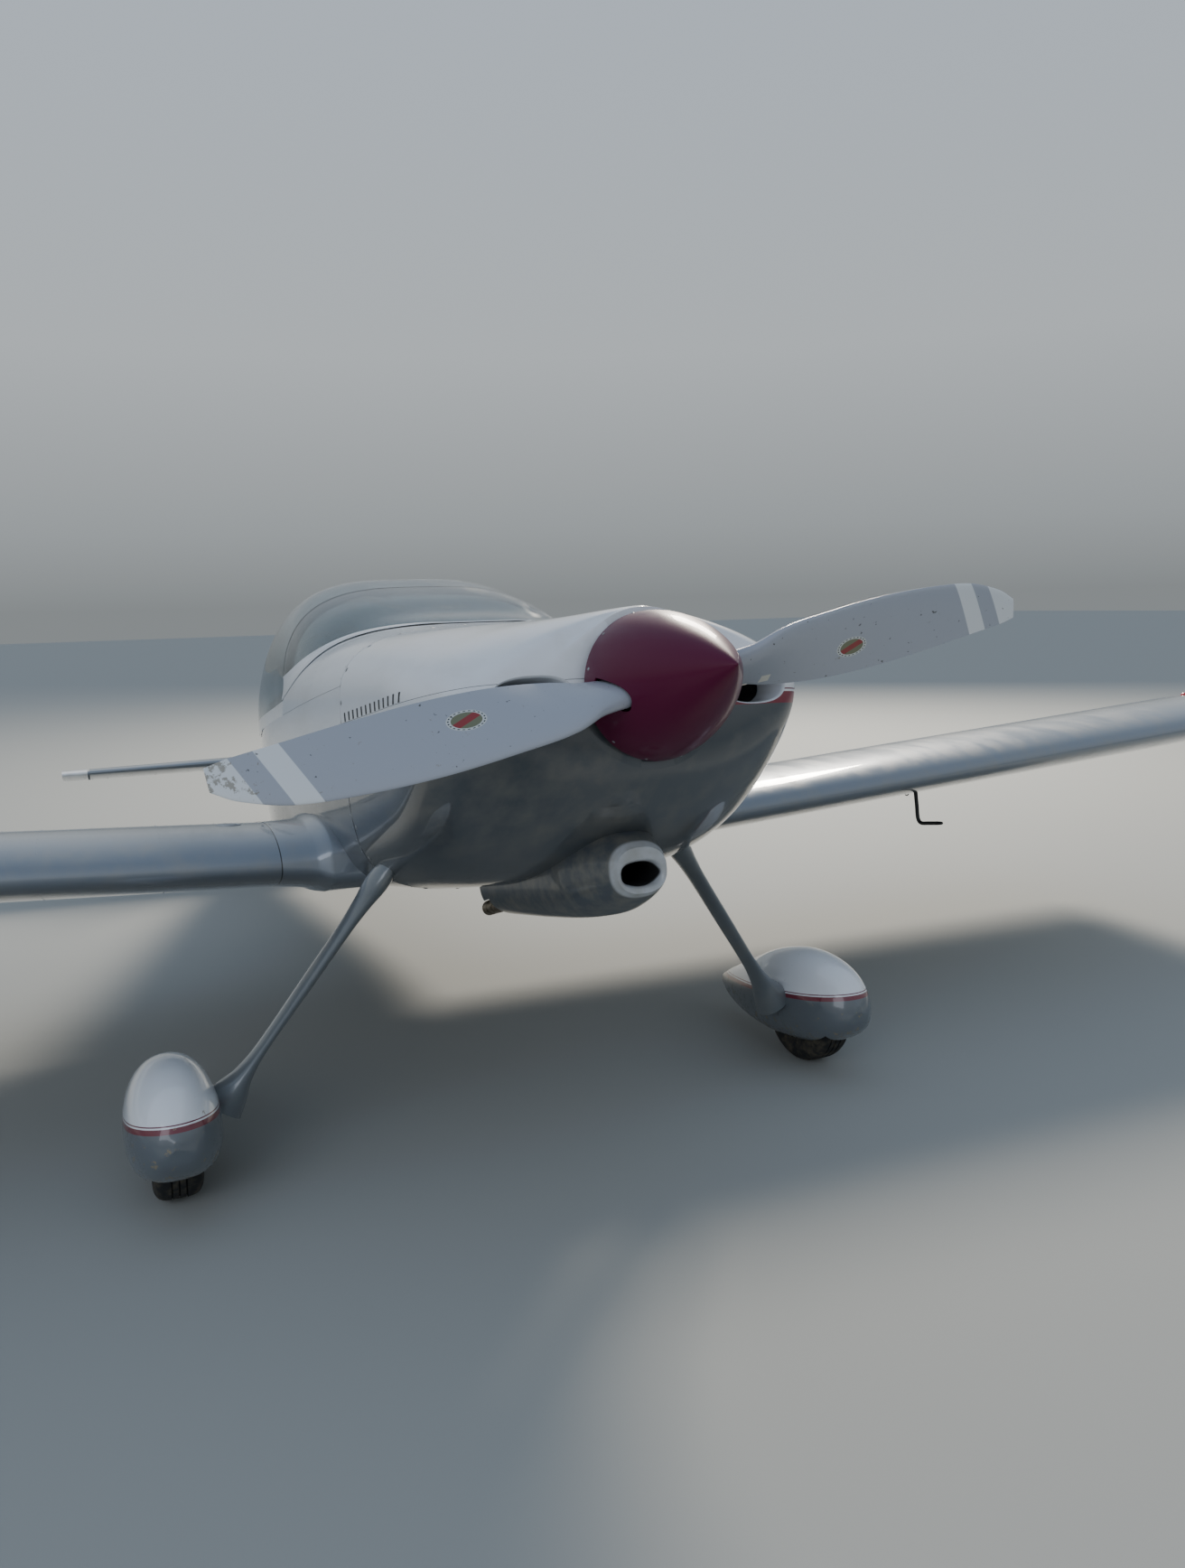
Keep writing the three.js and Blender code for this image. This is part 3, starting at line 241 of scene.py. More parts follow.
def even(lines, count):
    """Each line of points laid out again with equal steps along its own length."""
    out = []
    for line in lines:
        run = run_of(line)
        steps = np.linspace(0, run[-1], count)
        out.append(np.stack([np.interp(steps, run, values) for values in line.T], -1))
    return np.array(out)


def arc(rows, start, end, count, grow=0.0):
    """An open arc of each ring from one angle to another, evenly stepped; angles may differ by row."""
    start, end = [np.broadcast_to(value, len(rows)).astype(float) for value in (start, end)]
    share = np.linspace(0, 1, 1441)
    return even(rings(rows, start[:, None] + (end - start)[:, None] * share, grow), count)


def angle_at(rows, height, grow=0.0):
    """The angle, on the port side, at which each ring passes a height."""
    y, half, top, low, waist, up, down = np.asarray(rows, float).T
    over = height >= waist
    power = np.where(over, up, down) / 2
    reach = np.where(over, top - waist, waist - low) + grow
    share = np.sign(height - waist) * np.abs((height - waist) / reach) ** power
    return np.arcsin(np.clip(share, -1, 1))


print("top of a test ring, mm:", rings([[640, 530, 400, -464, 25, 3.1, 4.4]], np.pi / 2)[0, 0].round(1))

# %% [markdown]
# Skins are closed solids here, each an outer and an inner surface with edges between them, so they
# look right from both sides and can be weighed or printed. Faces are turned outwards by the sign of
# the enclosed volume, which holds for any closed shape.

# %% Meshes from grids
def quads(rows, columns, around=False, offset=0):
    """Face rows for a grid of points; around joins the last column to the first."""
    r = np.arange(rows - 1)[:, None]
    c = np.arange(columns if around else columns - 1)[None, :]
    n = (c + 1) % columns
    corners = [r * columns + c, r * columns + n, (r + 1) * columns + n, (r + 1) * columns + c]
    return np.stack([corner + offset for corner in corners], -1).reshape(-1, 4)


def outward(points, faces):
    """The faces, all turned round where the solid's signed volume is negative."""
    size = 0.0
    for f in faces:
        for k in range(1, f.shape[1] - 1):
            a, b, c = points[f[:, 0]], points[f[:, k]], points[f[:, k + 1]]
            size += float(np.einsum("ij,ij->i", a, np.cross(b, c)).sum())
    return [f[:, ::-1] if size < 0 else f for f in faces]


def solid(name, parts, material, body="airframe", slot=None, replaces=()):
    """A piece from closed parts, each (points, list of face arrays): placed, shaded and set on its body."""
    all_points, all_faces, start = [], [], 0
    for points, faces in parts:
        points = place(np.asarray(points, float).reshape(-1, 3))
        for f in outward(points, faces):
            all_faces.extend((f + start).tolist())
        all_points.append(points)
        start += len(points)
    piece = object_from(name, np.concatenate(all_points), all_faces, material)
    piece.data.shade_smooth()
    piece.data.set_sharp_from_angle(angle=math.radians(CREASE))
    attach(piece, body)
    if replaces:
        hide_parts(*replaces)
    print(f"{name}: {len(piece.data.polygons)} faces")
    return piece


def tube(grid):
    """A closed body from rings of points (rows, columns, 3), each end closed by a fan to its middle."""
    rows, columns = grid.shape[:2]
    hubs = np.stack([grid[0].mean(0), grid[-1].mean(0)])
    points = np.concatenate([grid.reshape(-1, 3), hubs])
    c = np.arange(columns)
    first = np.stack([np.full(columns, rows * columns), (c + 1) % columns, c], -1)
    last = np.stack([np.full(columns, rows * columns + 1), c, (c + 1) % columns], -1)
    last[:, 1:] += (rows - 1) * columns
    return points, [quads(rows, columns, True), first, last]


def sheet(outer, inner):
    """A closed sheet between two grids of the same size, with strips round its four edges."""
    rows, columns = outer.shape[:2]
    count = rows * columns
    index = np.arange(count).reshape(rows, columns)
    faces = [quads(rows, columns), quads(rows, columns, offset=count)[:, ::-1]]
    for edge, step in [(index[0], -1), (index[-1], 1), (index[:, 0], 1), (index[:, -1], -1)]:
        strip = np.stack([edge[:-1], edge[1:], edge[1:] + count, edge[:-1] + count], -1)
        faces.append(strip[:, ::step])
    return np.concatenate([outer.reshape(-1, 3), inner.reshape(-1, 3)]), faces


def sleeve(outer, inner):
    """A closed pipe wall between two grids of rings, with an annulus at each end."""
    rows, columns = outer.shape[:2]
    count = rows * columns
    faces = [quads(rows, columns, True), quads(rows, columns, True, count)[:, ::-1]]
    for r, step in [(0, -1), (rows - 1, 1)]:
        c = np.arange(columns) + r * columns
        n = np.roll(c, -1)
        faces.append(np.stack([c, n, count + n, count + c], -1)[:, ::step])
    return np.concatenate([outer.reshape(-1, 3), inner.reshape(-1, 3)]), faces


def both_sides(parts):
    """Closed parts and their mirror images across the aircraft."""
    return [*parts, *[(points * MIRROR, faces) for points, faces in parts]]


print("faces of a grid of 4 by 3 points:", len(quads(4, 3)))

# %% [markdown]
# A pattern in paint is arithmetic on the place of each point: a stripe is a distance compared with a
# few limits. Shader graphs do such sums one node at a time, so a small class stands for a number in
# the graph and adds the node for each sum that is written with it.

# %% Sums in a shader
def maths(operation, *values):
    """The result of one Math node; each value is a number or a Value."""
    tree = next(value.tree for value in values if isinstance(value, Value))
    inputs = [(value, i) for i, value in enumerate(values)]
    return Value(tree, add(tree, "Math", inputs, operation=operation).outputs[0])


class Value:
    """A number that a shader works out at each point. Arithmetic on it adds Math nodes to its tree."""

    def __init__(self, tree, socket):
        self.tree, self.socket = tree, socket

    def __add__(self, other):
        return maths("ADD", self, other)

    def __sub__(self, other):
        return maths("SUBTRACT", self, other)

    def __mul__(self, other):
        return maths("MULTIPLY", self, other)

    def __truediv__(self, other):
        return maths("DIVIDE", self, other)

    def __pow__(self, other):
        return maths("POWER", self, other)

    def __abs__(self):
        return maths("ABSOLUTE", self)

    def near(self, other, reach):
        """1 where the value is within reach of another, else 0."""
        return maths("COMPARE", self, other, reach)

    def ramp(self, low, high, to_low=0.0, to_high=1.0):
        """The value's place between low and high, held to that range."""
        inputs = [(self, 0), (low, 1), (high, 2), (to_low, 3), (to_high, 4)]
        return Value(self.tree, add(self.tree, "MapRange", inputs).outputs[0])

    def blend(self, low, high):
        """A colour between two, by this value from 0 to 1. Each may be a hex value or a socket."""
        inputs = [(self, 0), (low, 6), (high, 7)]
        return add(self.tree, "Mix", inputs, data_type="RGBA").outputs[2]

    def bands(self, first, steps, soft=0.0006):
        """A colour that changes to the next step's at each of its distances, in metres."""
        colour = first
        for edge, code in steps:
            colour = self.ramp(edge, edge + soft).blend(colour, code)
        return colour


class Finish:
    """A material being made. Its x, y and z are Object coordinates turned back level, in metres."""

    def __init__(self, name, code, roughness, metallic=0.0, coat=0.0):
        self.made = bpy.data.materials.new(name)
        self.made.use_nodes = True
        self.tree = self.made.node_tree
        self.shader = self.tree.nodes["Principled BSDF"]
        constants = {"Base Color": linear(code), "Roughness": roughness, "Metallic": metallic}
        if coat:
            constants.update({"Coat Weight": coat, "Coat Roughness": 0.04})
        for key, value in constants.items():
            self.shader.inputs[key].default_value = value
        coordinates = add(self.tree, "TexCoord").outputs["Object"]
        moved = add(self.tree, "VectorMath", [(coordinates, 0), (tuple(SHIFT), 1)], operation="SUBTRACT")
        turned = add(self.tree, "Mapping", [(moved.outputs[0], 0), ((DECK, 0, 0), 2)], vector_type="POINT")
        self.level = turned.outputs[0]
        split = add(self.tree, "SeparateXYZ", [(self.level, 0)])
        self.x, self.y, self.z = [Value(self.tree, output) for output in split.outputs]

    def noise(self, size_mm, detail=3.0, stretch=None, rough=0.55):
        """Noise whose cells are about size_mm across; stretch squeezes it along an axis, as streaks."""
        vector = self.level
        if stretch:
            vector = add(self.tree, "Mapping", [(vector, 0), (stretch, 3)]).outputs[0]
        inputs = [(vector, 0), (1000 / size_mm, 2), (detail, 3), (rough, 4)]
        return Value(self.tree, add(self.tree, "TexNoise", inputs).outputs[0])

    def done(self, colour=None, rough=None, bump=None, **others):
        """The material, with what varies in it joined to its shader; bump is (height, strength, metres)."""
        joined = {"Base Color": colour, "Roughness": rough, **others}
        if bump:
            height, strength, metres = bump
            inputs = [(height, 2), (strength, 0), (metres, 1)]
            joined["Normal"] = add(self.tree, "Bump", inputs).outputs[0]
        for key, value in joined.items():
            if value is not None:
                self.tree.links.new(getattr(value, "socket", value), self.shader.inputs[key])
        return self.made


print("what a finish can be asked for:", [name for name in vars(Finish) if name[0] != "_"])

# %% [markdown]
# Sprayed two-pack paint is a coloured coat under clear gloss. Up close it has a faint orange peel, and
# on an aircraft left outdoors a film of dust and dried rain. The coat gives the sharp reflection, the
# noise its unevenness, and the colours change at the waterline that the painter masked.

# %% Sprayed paint
# Waterline of the stripe, metres: a parabola through three stations of the side
STRIPE = np.polyfit([-1.03, 0.6, 4.215], [-0.018, -0.062, 0.045], 2)


def sprayed(name, upper, lower=None, metallic=0.0, roughness=0.32, dust="#a79f8c", dusty=0.35, coat=1.0,
            seam=None):
    """Gloss two-pack paint: lower names a second colour, under the maroon stripe at the waterline."""
    paint = Finish(name, upper, roughness, metallic, coat)
    colour = upper
    if lower:
        bend, slope, height = [float(value) for value in STRIPE]
        under = (paint.y * bend + slope) * paint.y + height - paint.z
        # Metres below the line: pinstripe, gap, stripe, then the lower colour
        steps = [(0.0, "#6b1030"), (0.003, upper), (0.008, "#7a0f2c"), (0.034, lower)]
        colour = under.bands(upper, steps)
    if seam:
        colour = abs(paint.x).near(seam, 0.0014).blend(colour, "#15171a")
    dirt = paint.noise(340, 6) * paint.noise(60, 4, stretch=(1, 0.12, 1))
    colour = dirt.ramp(0.22, 0.42, 0, dusty).blend(colour, dust)
    rough = dirt.ramp(0.2, 0.45, roughness, roughness + 0.25)
    return paint.done(colour, rough, (paint.noise(2.2, 2), 0.04, 0.0003))


def worn(name, code, soiled, roughness, metallic=0.0, grain_mm=30, most=0.6, bump=None, coat=0.0):
    """A plain finish with a patchy second colour over it, and a grain given as (mm, strength, metres)."""
    finish = Finish(name, code, roughness, metallic, coat)
    dirt = finish.noise(grain_mm, 6)
    colour = dirt.ramp(0.45, 0.72, 0, most).blend(code, soiled)
    rough = dirt.ramp(0.4, 0.7, roughness, min(roughness + 0.2, 0.95))
    return finish.done(colour, rough, bump and (finish.noise(bump[0], 4), *bump[1:]))


# Two-pack enamel, sprayed: white above the stripe and silver grey below it. The grey is real, but it is set
# much darker than the wings' silver as painted shade of the underside
body_paint = sprayed("sprayed_enamel_white_over_grey", "#e6e9ed", "#454b50", dusty=0.2)
white_enamel = sprayed("sprayed_enamel_white", "#e9ecf0")
# Silver metallic enamel: fine aluminium flake under gloss, darker where the light leaves it
SILVER = {"upper": "#7f8790", "metallic": 0.4, "roughness": 0.3, "dusty": 0.22}
silver_enamel = sprayed("sprayed_enamel_silver", **SILVER)
# The same on the wings, with the black sealant where the root fairing's edge lies on the panel
wing_enamel = sprayed("sprayed_enamel_silver_wing", seam=0.655, **SILVER)
# Grey polyester gel on the scoop and fairings
grey_enamel = sprayed("sprayed_enamel_grey", "#6a7176", metallic=0.2, roughness=0.3, dusty=0.22)
# Deep plum enamel over a spun shell, its gloss half gone after years of wiping off flies
plum_enamel = sprayed("sprayed_enamel_plum", "#560030", roughness=0.3, dust="#6a1f40", dusty=0.08, coat=0.2)
plum_enamel.node_tree.nodes["Principled BSDF"].inputs["Specular IOR Level"].default_value = 0.25
# Grey textured enamel of a cockpit: matt, sprayed over primer
cockpit_grey = worn("cockpit_enamel_textured", "#4b4e51", "#6a655b", 0.6, grain_mm=140, most=0.35,
                    bump=(1.6, 0.35, 0.0004))
print("paints:", [m.name for m in bpy.data.materials])

# %% [markdown]
# The fuselage of this type is one smooth tapering box of sheet, but it is made in lengths: the cowling
# ahead of the firewall, the cabin with its deck, and the tail cone. Each length is cut here from the
# same table of rings, so their edges meet as the real skins do.

# %% Fuselage tables
FIREWALL, CABIN_END, POST_Y = -216, 1500, 4215
RAIL_Z, SPLIT_Z, CANOPY_Y, SKIRT_TOP = 125, 25, 661, 178
HULL = [
    # y, half width, top, bottom, waist, power above, power below
    [-216, 497, 278, -450, 25, 3.3, 4.6],
    [150, 518, 340, -460, 25, 3.2, 4.6],
    [640, 530, 400, -464, 25, 3.1, 4.4],
    [1050, 530, 385, -462, 25, 3.1, 4.2],
    [1500, 494, 345, -446, 25, 3.1, 4.0],
    [2100, 416, 300, -388, 20, 3.0, 3.6],
    [2900, 265, 226, -258, 20, 2.8, 3.2],
    [3560, 140, 166, -150, 15, 2.6, 3.0],
    [4215, 32, 116, -66, 10, 2.4, 2.8],
]
COWL = [
    [-1068, 175, 172, -176, 0, 2.0, 2.0],
    [-1058, 279, 176, -186, 0, 1.35, 2.0],
    [-1040, 367, 179, -200, 0, 1.45, 2.0],
    [-1000, 405, 183, -228, 3, 1.6, 2.2],
    [-900, 438, 188, -300, 8, 2.0, 2.5],
    [-740, 466, 205, -376, 15, 2.3, 3.0],
    [-500, 478, 237, -430, 22, 3.0, 3.8],
    [-216, 497, 278, -450, 25, 3.3, 4.6],
]
BUBBLE = [
    [60, 150, 300, 60, 100, 2.9, 2],
    [150, 330, 352, 60, 100, 2.9, 2],
    [300, 448, 404, 60, 100, 3.1, 2],
    [450, 490, 474, 60, 100, 3.2, 2],
    [650, 512, 550, 60, 100, 3.2, 2],
    [900, 512, 628, 60, 100, 3.2, 2],
    [1200, 512, 613, 60, 100, 3.2, 2],
    [1500, 497, 531, 60, 100, 3.2, 2],
    [1800, 458, 409, 60, 100, 3.3, 2],
    [2120, 401, 299, 60, 100, 3.5, 2],
]


def rows_of(table, start, end, count, bias=1.0):
    """Table rows at stations from start to end; bias above 1 crowds them at the start."""
    return between(table, start + (end - start) * np.linspace(0, 1, count) ** bias)


def half_at(y, z, table=HULL, grow=0.0):
    """Half width of a body of rings at stations and heights, from the superellipse's own equation."""
    _, half, top, low, waist, up, down = between(table, y).T
    reach = np.where(z >= waist, top - waist, waist - low) + grow
    power = np.where(z >= waist, up, down)
    return (half + grow) * (1 - np.abs((z - waist) / reach) ** power) ** (1 / power)


def within(x, z, rows, grow=0.0):
    """Whether points, in columns, lie inside each row's ring, grown by an amount."""
    half, top, low, waist, up, down = rows.T[1:, :, None]
    reach = np.where(z >= waist, top - waist, waist - low) + grow
    power = np.where(z >= waist, up, down)
    return np.abs(x / (half + grow)) ** power + np.abs((z - waist) / reach) ** power < 1


def covered_until(rows, grow=0.0):
    """The angle at which each ring of a body comes out of the fuselage at the same station."""
    angles = np.linspace(0, np.pi / 2, 2001)
    points = rings(rows, angles)
    inside = within(points[..., 0], points[..., 2], between(HULL, rows[:, 0]), grow)
    return angles[np.clip(2000 - np.argmax(inside[:, ::-1], 1) + 1, 0, 2000) * inside.any(1)]


print("half width at the firewall's waist:", half_at([FIREWALL], 25.0).round(1))

# %% [markdown]
# The cabin's sides and floor are one folded skin. It is drawn as an arc of each ring, from the port
# rail down round the belly to the starboard rail, with a second arc inside it for the wall.

# %% Cabin skin, deck and tail cone
def grey_inside(piece, first, count):
    """The cockpit's grey on a run of faces that only the cabin sees."""
    piece.data.materials.append(cockpit_grey)
    chosen = np.zeros(len(piece.data.polygons), int)
    chosen[first:first + count] = 1
    piece.data.polygons.foreach_set("material_index", chosen)


def skin(name, rows, ends, wall, count, **ways):
    """A curved wall: an arc of each ring, and an inner arc with its own ends, grown inwards."""
    (start, end), inner = ends
    grids = arc(rows, start, end, count), arc(rows, *inner, count, -wall)
    piece = solid(name, [sheet(*grids)], **ways)
    each = (len(rows) - 1) * (count - 1)
    grey_inside(piece, each, each)
    return piece


rows = rows_of(HULL, FIREWALL + 6.3, CABIN_END, 60)
rails = angle_at(rows, RAIL_Z), angle_at(rows, RAIL_Z, -22)
skin("cabin_skin", rows, [(angle, -np.pi - angle) for angle in rails], 22, 150, material=body_paint,
     slot="grey_paint", replaces=["cabin_tub"])

rows = rows_of(HULL, FIREWALL + 6.3, 625, 30)
edges = angle_at(rows, RAIL_Z + 1), angle_at(rows, RAIL_Z + 1, -8)
skin("deck_skin", rows, [(angle, np.pi - angle) for angle in edges], 8, 110, material=body_paint,
     slot="white_paint", replaces=["forward_deck"])

rows = rows_of(HULL, CABIN_END + 1, POST_Y - 39, 90)
cone = tube(even(rings(rows, np.linspace(0, 2 * np.pi, 1441)), 121)[:, :-1])
tail_cone = solid("tail_cone_skin", [cone], body_paint, slot="grey_paint", replaces=["tail_cone"])
# Its closed front end is the cabin's back wall: the fan of faces after those of the 90 rings
grey_inside(tail_cone, 89 * 120, 120)

# %% [markdown]
# A cowling is two fibreglass mouldings with the air inlets moulded in. The shell is drawn whole as
# rings and then carved: each opening is a closed body subtracted from it, the way a template is sawn
# out of a moulding. A Boolean modifier does the cut and its result replaces the mesh.

# %% Cowling
def carve(piece, parts):
    """Closed parts subtracted from a piece; the cutters made for it are removed afterwards."""
    cutters = [closed_object("cutter", part) for part in parts]
    for cutter in cutters:
        change = piece.modifiers.new("carve", "BOOLEAN")
        change.operation = "DIFFERENCE"
        change.solver = "EXACT"
        change.object = cutter
    graph = bpy.context.evaluated_depsgraph_get()
    made = bpy.data.meshes.new_from_object(piece.evaluated_get(graph))
    piece.modifiers.clear()
    piece.data = made
    made.set_sharp_from_angle(angle=math.radians(CREASE))
    for cutter in cutters:
        bpy.data.objects.remove(cutter)


def closed_object(name, part):
    """A plain object from one closed part in level millimetres."""
    points, faces = part
    points = place(points)
    return object_from(name, points, [row for f in outward(points, faces) for row in f.tolist()])


def block(x, y, z):
    """The eight corners of a box as a tube of two rings."""
    ring = [(x[0], z[0]), (x[1], z[0]), (x[1], z[1]), (x[0], z[1])]
    return tube(np.array([[(across, at, up) for across, up in ring] for at in y], float))


def path_tube(stations, half, top, low, waist, power, middle=0.0, count=48, grows=(0, 0)):
    """Rings of one superellipse along y, moved sideways to a middle and grown by an amount each."""
    out = [rings([[y, half, top, low, waist, power, power]], circle(count), grow)[0]
           for y, grow in zip(stations, grows)]
    return np.array(out) + np.array([middle, 0, 0])


NOSE_HOLE = 75
ahead = -1068 + 852 * np.linspace(0, 1, 90) ** 1.7
outer_rows = np.vstack([[-1068, NOSE_HOLE, NOSE_HOLE, -NOSE_HOLE, 0, 2, 2], between(COWL, ahead)])
inner_rows = np.vstack([[-1063, 80, 80, -80, 0, 2, 2], between(COWL, np.maximum(ahead, -1063))])


def cowl_half(name, sign, slot):
    """Upper (+1) or lower (-1) moulding: the arc of every ring on its side of the split line."""
    grids = []
    for rows, grow in ((outer_rows, 0), (inner_rows, -5)):
        edge = angle_at(rows, SPLIT_Z + 0.5 * sign, grow)
        grids.append(arc(rows, edge, sign * np.pi - edge, 170, grow))
    return solid(f"{name}_moulding", [sheet(*grids)], body_paint, slot=slot, replaces=[name])


INLET_X = 264
inlet = {"half": 88, "top": 38, "low": -50, "waist": -6, "power": 2.4}
upper_cowl = cowl_half("upper_cowl", 1, "white_paint")
lower_cowl = cowl_half("lower_cowl", -1, "grey_paint")
for piece in (upper_cowl, lower_cowl):
    carve(piece, [tube(path_tube([-1200, -940], middle=side * INLET_X, **inlet)) for side, _ in SIDES])
carve(lower_cowl, [block((-150, 150), (FIREWALL - 45, 0), (-700, -456))])
print("cowl faces:", len(upper_cowl.data.polygons), len(lower_cowl.data.polygons))

# %% [markdown]
# The scoop under the nose breathes for the engine, and the two inlets cool it. A mouth has a rolled
# lip: rings that turn round the edge and run back inside, so one grid makes both its walls.

# %% Scoop and inlets
def front_y(table, x, z, steps=400):
    """The first station at which a body's rings reach out to a point across it."""
    rows = rows_of(table, table[0][0], table[-1][0], steps, 2)
    return rows[np.argmax(within(x, z, rows), 0), 0]


# Scoop under the nose: inwards from the mouth's back wall, round the lip and back to the firewall
SCOOP = [
    [-940, 62, -346, -450, -398, 2.4, 2.4],
    [-915, 74, -330, -462, -396, 2.4, 2.4],
    [-850, 96, -300, -486, -400, 2.4, 2.4],
    [-740, 124, -290, -514, -410, 2.6, 2.5],
    [-530, 142, -300, -531, -420, 2.8, 2.6],
    [-216, 160, -320, -541, -430, 3.2, 3.0],
]
mouth = {"half": 46, "top": -380, "low": -432, "waist": -406, "power": 2.6}
throat = path_tube([-700, -905, -922, -932, -936, -938], count=96, grows=[-6, -2, 0, 3, 6, 9], **mouth)
body = rings(rows_of(SCOOP, -940, FIREWALL - 0.5, 60, 1.4), circle(96))


def scoop_finish():
    """Grey gel coat that is pale and chalky at the lip, and matt inside the throat, where the colour is near
    black as painted shade.
    """
    gel = Finish("gel_coat_scoop", "#7b8085", 0.4, coat=0.6)
    lip = gel.y.ramp(-0.924, -0.916, 1, 0).blend("#4a5055", "#b4b8bc")
    colour = gel.noise(45, 6).ramp(0.4, 0.7, 0, 0.5).blend(lip, "#8c8676")
    # An ellipse about the mouth's middle, a little wider than the throat; inside it the colour is near black,
    # painted shade
    oval = (gel.x / 0.0475) ** 2 + ((gel.z + 0.406) / 0.0275) ** 2
    outside = oval.ramp(1.0, 1.12)
    return gel.done(outside.blend("#0d0e0f", colour), outside.ramp(0.0, 1.0, 0.8, 0.4))


scoop = solid("induction_scoop", [tube(np.concatenate([throat, body]))], scoop_finish(), slot="grey_paint",
              replaces=["lower_cowl"])
carve(scoop, [block((-150, 150), (FIREWALL - 45, 10), (-700, -456))])

# Ducts behind the inlets, with a rolled lip that follows the moulding's curve
for side, word in ((1, "port"), (-1, "starboard")):
    duct = {"middle": side * INLET_X, "count": 64, **inlet}
    edge = path_tube([0], **duct)[0]
    start = front_y(COWL, edge[:, 0], edge[:, 2])
    inner = path_tube(np.zeros(5), grows=[0.2, -2, -3.5, -4.5, -5], **duct)
    inner[:-1, :, 1] = np.minimum(start + np.array([[0.5], [2.5], [6], [12]]), -940)
    inner[-1, :, 1] = -932
    outer = path_tube(np.zeros(5), grows=np.full(5, -0.3), **duct)
    outer[..., 1] = np.where(inner[..., 1] < start + 1, start + 1.2, inner[..., 1])
    solid(f"inlet_duct_{word}", [sleeve(outer, inner)], white_enamel, slot="white_paint",
          replaces=["upper_cowl"])

# %% [markdown]
# A bubble canopy is one sheet of acrylic blown over a frame. Here it is an arc of each bubble ring,
# from where the ring comes out of the fuselage over the top to the other side, 5 mm thick. The
# windshield is the fixed forward end of the same bubble, so the two always line up.

# %% Windshield
GLASS = 5


def clear_acrylic(name):
    """Clear tinted acrylic with streaks of dust that dull it in places."""
    sheet_finish = Finish(name, "#b4bfc3", 0.04)
    sheet_finish.shader.inputs["IOR"].default_value = 1.49
    streaks = sheet_finish.noise(120, 6, stretch=(1, 0.25, 1.6))
    dust = streaks.ramp(0.5, 0.78, 0.0, 0.35)
    clear = {"Transmission Weight": dust.ramp(0.0, 1.0, 0.98, 0.5)}
    return sheet_finish.done(dust.blend("#b4bfc3", "#a8a293"), streaks.ramp(0.5, 0.78, 0.03, 0.25), **clear)


def blown(rows, low_at, count):
    """The outer grid and the closed sheet of an arc over the top of each ring."""
    outer, inner = [arc(rows, low_at, np.pi - low_at, count, grow) for grow in (0, -GLASS)]
    return outer, sheet(outer, inner)


acrylic = clear_acrylic("tinted_acrylic_dusty")
rows = rows_of(BUBBLE, 92, CANOPY_Y - 6, 90, 1.3)
out_at = np.maximum(covered_until(rows), angle_at(rows, RAIL_Z + 0.5))
visible = out_at < np.pi / 2 - 0.02
rows, out_at = rows[visible], out_at[visible]
screen, windshield = blown(rows, out_at, 120)
solid("windshield_sheet", [windshield], acrylic, slot="acrylic", replaces=["windshield"])
print("windshield starts at y =", rows[0][0].round(1))

# Fairing of filled cloth round the windshield's base: a concave strip from the deck up onto the sheet
foot_rows = between(HULL, rows[:, 0])
up = np.minimum(out_at + 46 / (rows[:, 1] * 1.1), np.pi / 2)
deck_angle = angle_at(foot_rows, np.minimum(screen[:, 0, 2], foot_rows[:, 2] - 0.01))
high = rings(rows, up[:, None], 1.6)[:, 0]
middle = screen[:, 0] + np.array([0, -6, 3])
out_foot = deck_angle - 42 / foot_rows[:, 1]
low = rings(foot_rows, out_foot[:, None], 1.6)[:, 0]
low[:, 1] -= 34 * np.clip((rows[-1][0] - rows[:, 0]) / 300, 0, 1)
low, middle, high = low[:, None], middle[:, None], high[:, None]
t = np.linspace(0, 1, 13)[None, :, None]
curve = (1 - t) ** 2 * low + 2 * t * (1 - t) * middle + t ** 2 * high
curve = np.concatenate([curve[::-1], curve * MIRROR])
solid("windshield_fairing", [sheet(curve, curve - np.array([0, 0, 3]))], white_enamel,
      slot="white_paint", replaces=["forward_deck"])
print("fairing strip, points:", curve.shape)

# %% [markdown]
# The hood slides aft on its skirts. Its glass starts above the skirt and stays clear of the turtle deck
# behind the cabin. A tube hoop stands under its front edge and another under the windshield's.

# %% Sliding hood
rows = rows_of(BUBBLE, CANOPY_Y, 2108, 130)
clear_of = np.where(rows[:, 0] > 1480, covered_until(rows, 6), 0)
glass_at = np.maximum(clear_of, angle_at(rows, SKIRT_TOP + 0.5))
keep = glass_at < np.pi / 2 - 0.05
hood = blown(rows[keep], glass_at[keep], 130)[1]
solid("canopy_bubble", [hood], acrylic, "sliding_canopy", "acrylic", ["canopy_glass"])

# Black enamel on welded steel tube, dulled and dusty
trim = worn("painted_steel_tube_black", "#1b1c1f", "#5b574d", 0.42, grain_mm=90, most=0.4)

skirt_low = np.maximum(clear_of, angle_at(rows, RAIL_Z + 6))
skirt_high = angle_at(rows, SKIRT_TOP)
keep = skirt_high - skirt_low > 0.004
grids = [arc(rows[keep], skirt_low[keep], skirt_high[keep], 9, grow) for grow in (1.0, -6.0)]
solid("canopy_skirts", both_sides([sheet(*grids)]), body_paint, "sliding_canopy", "white_paint",
      ["canopy_frame"])


def swept(path, radius, count=12):
    """A round tube along a path: circles set square to it, in a frame turned as little as possible."""
    path = np.asarray(path, float)
    along = np.gradient(path, axis=0)
    along /= np.linalg.norm(along, axis=1)[:, None]
    side = np.cross(along[0], [0.3, 0.2, 0.93])
    sides = []
    for direction in along:
        side = side - direction * (side @ direction)
        side = side / np.linalg.norm(side)
        sides.append(side)
    sides = np.array(sides)
    radius = np.broadcast_to(radius, len(path))[:, None, None]
    c, s = np.cos(circle(count))[:, None], np.sin(circle(count))[:, None]
    return tube(path[:, None] + radius * (c * sides[:, None] + s * np.cross(along, sides)[:, None]))


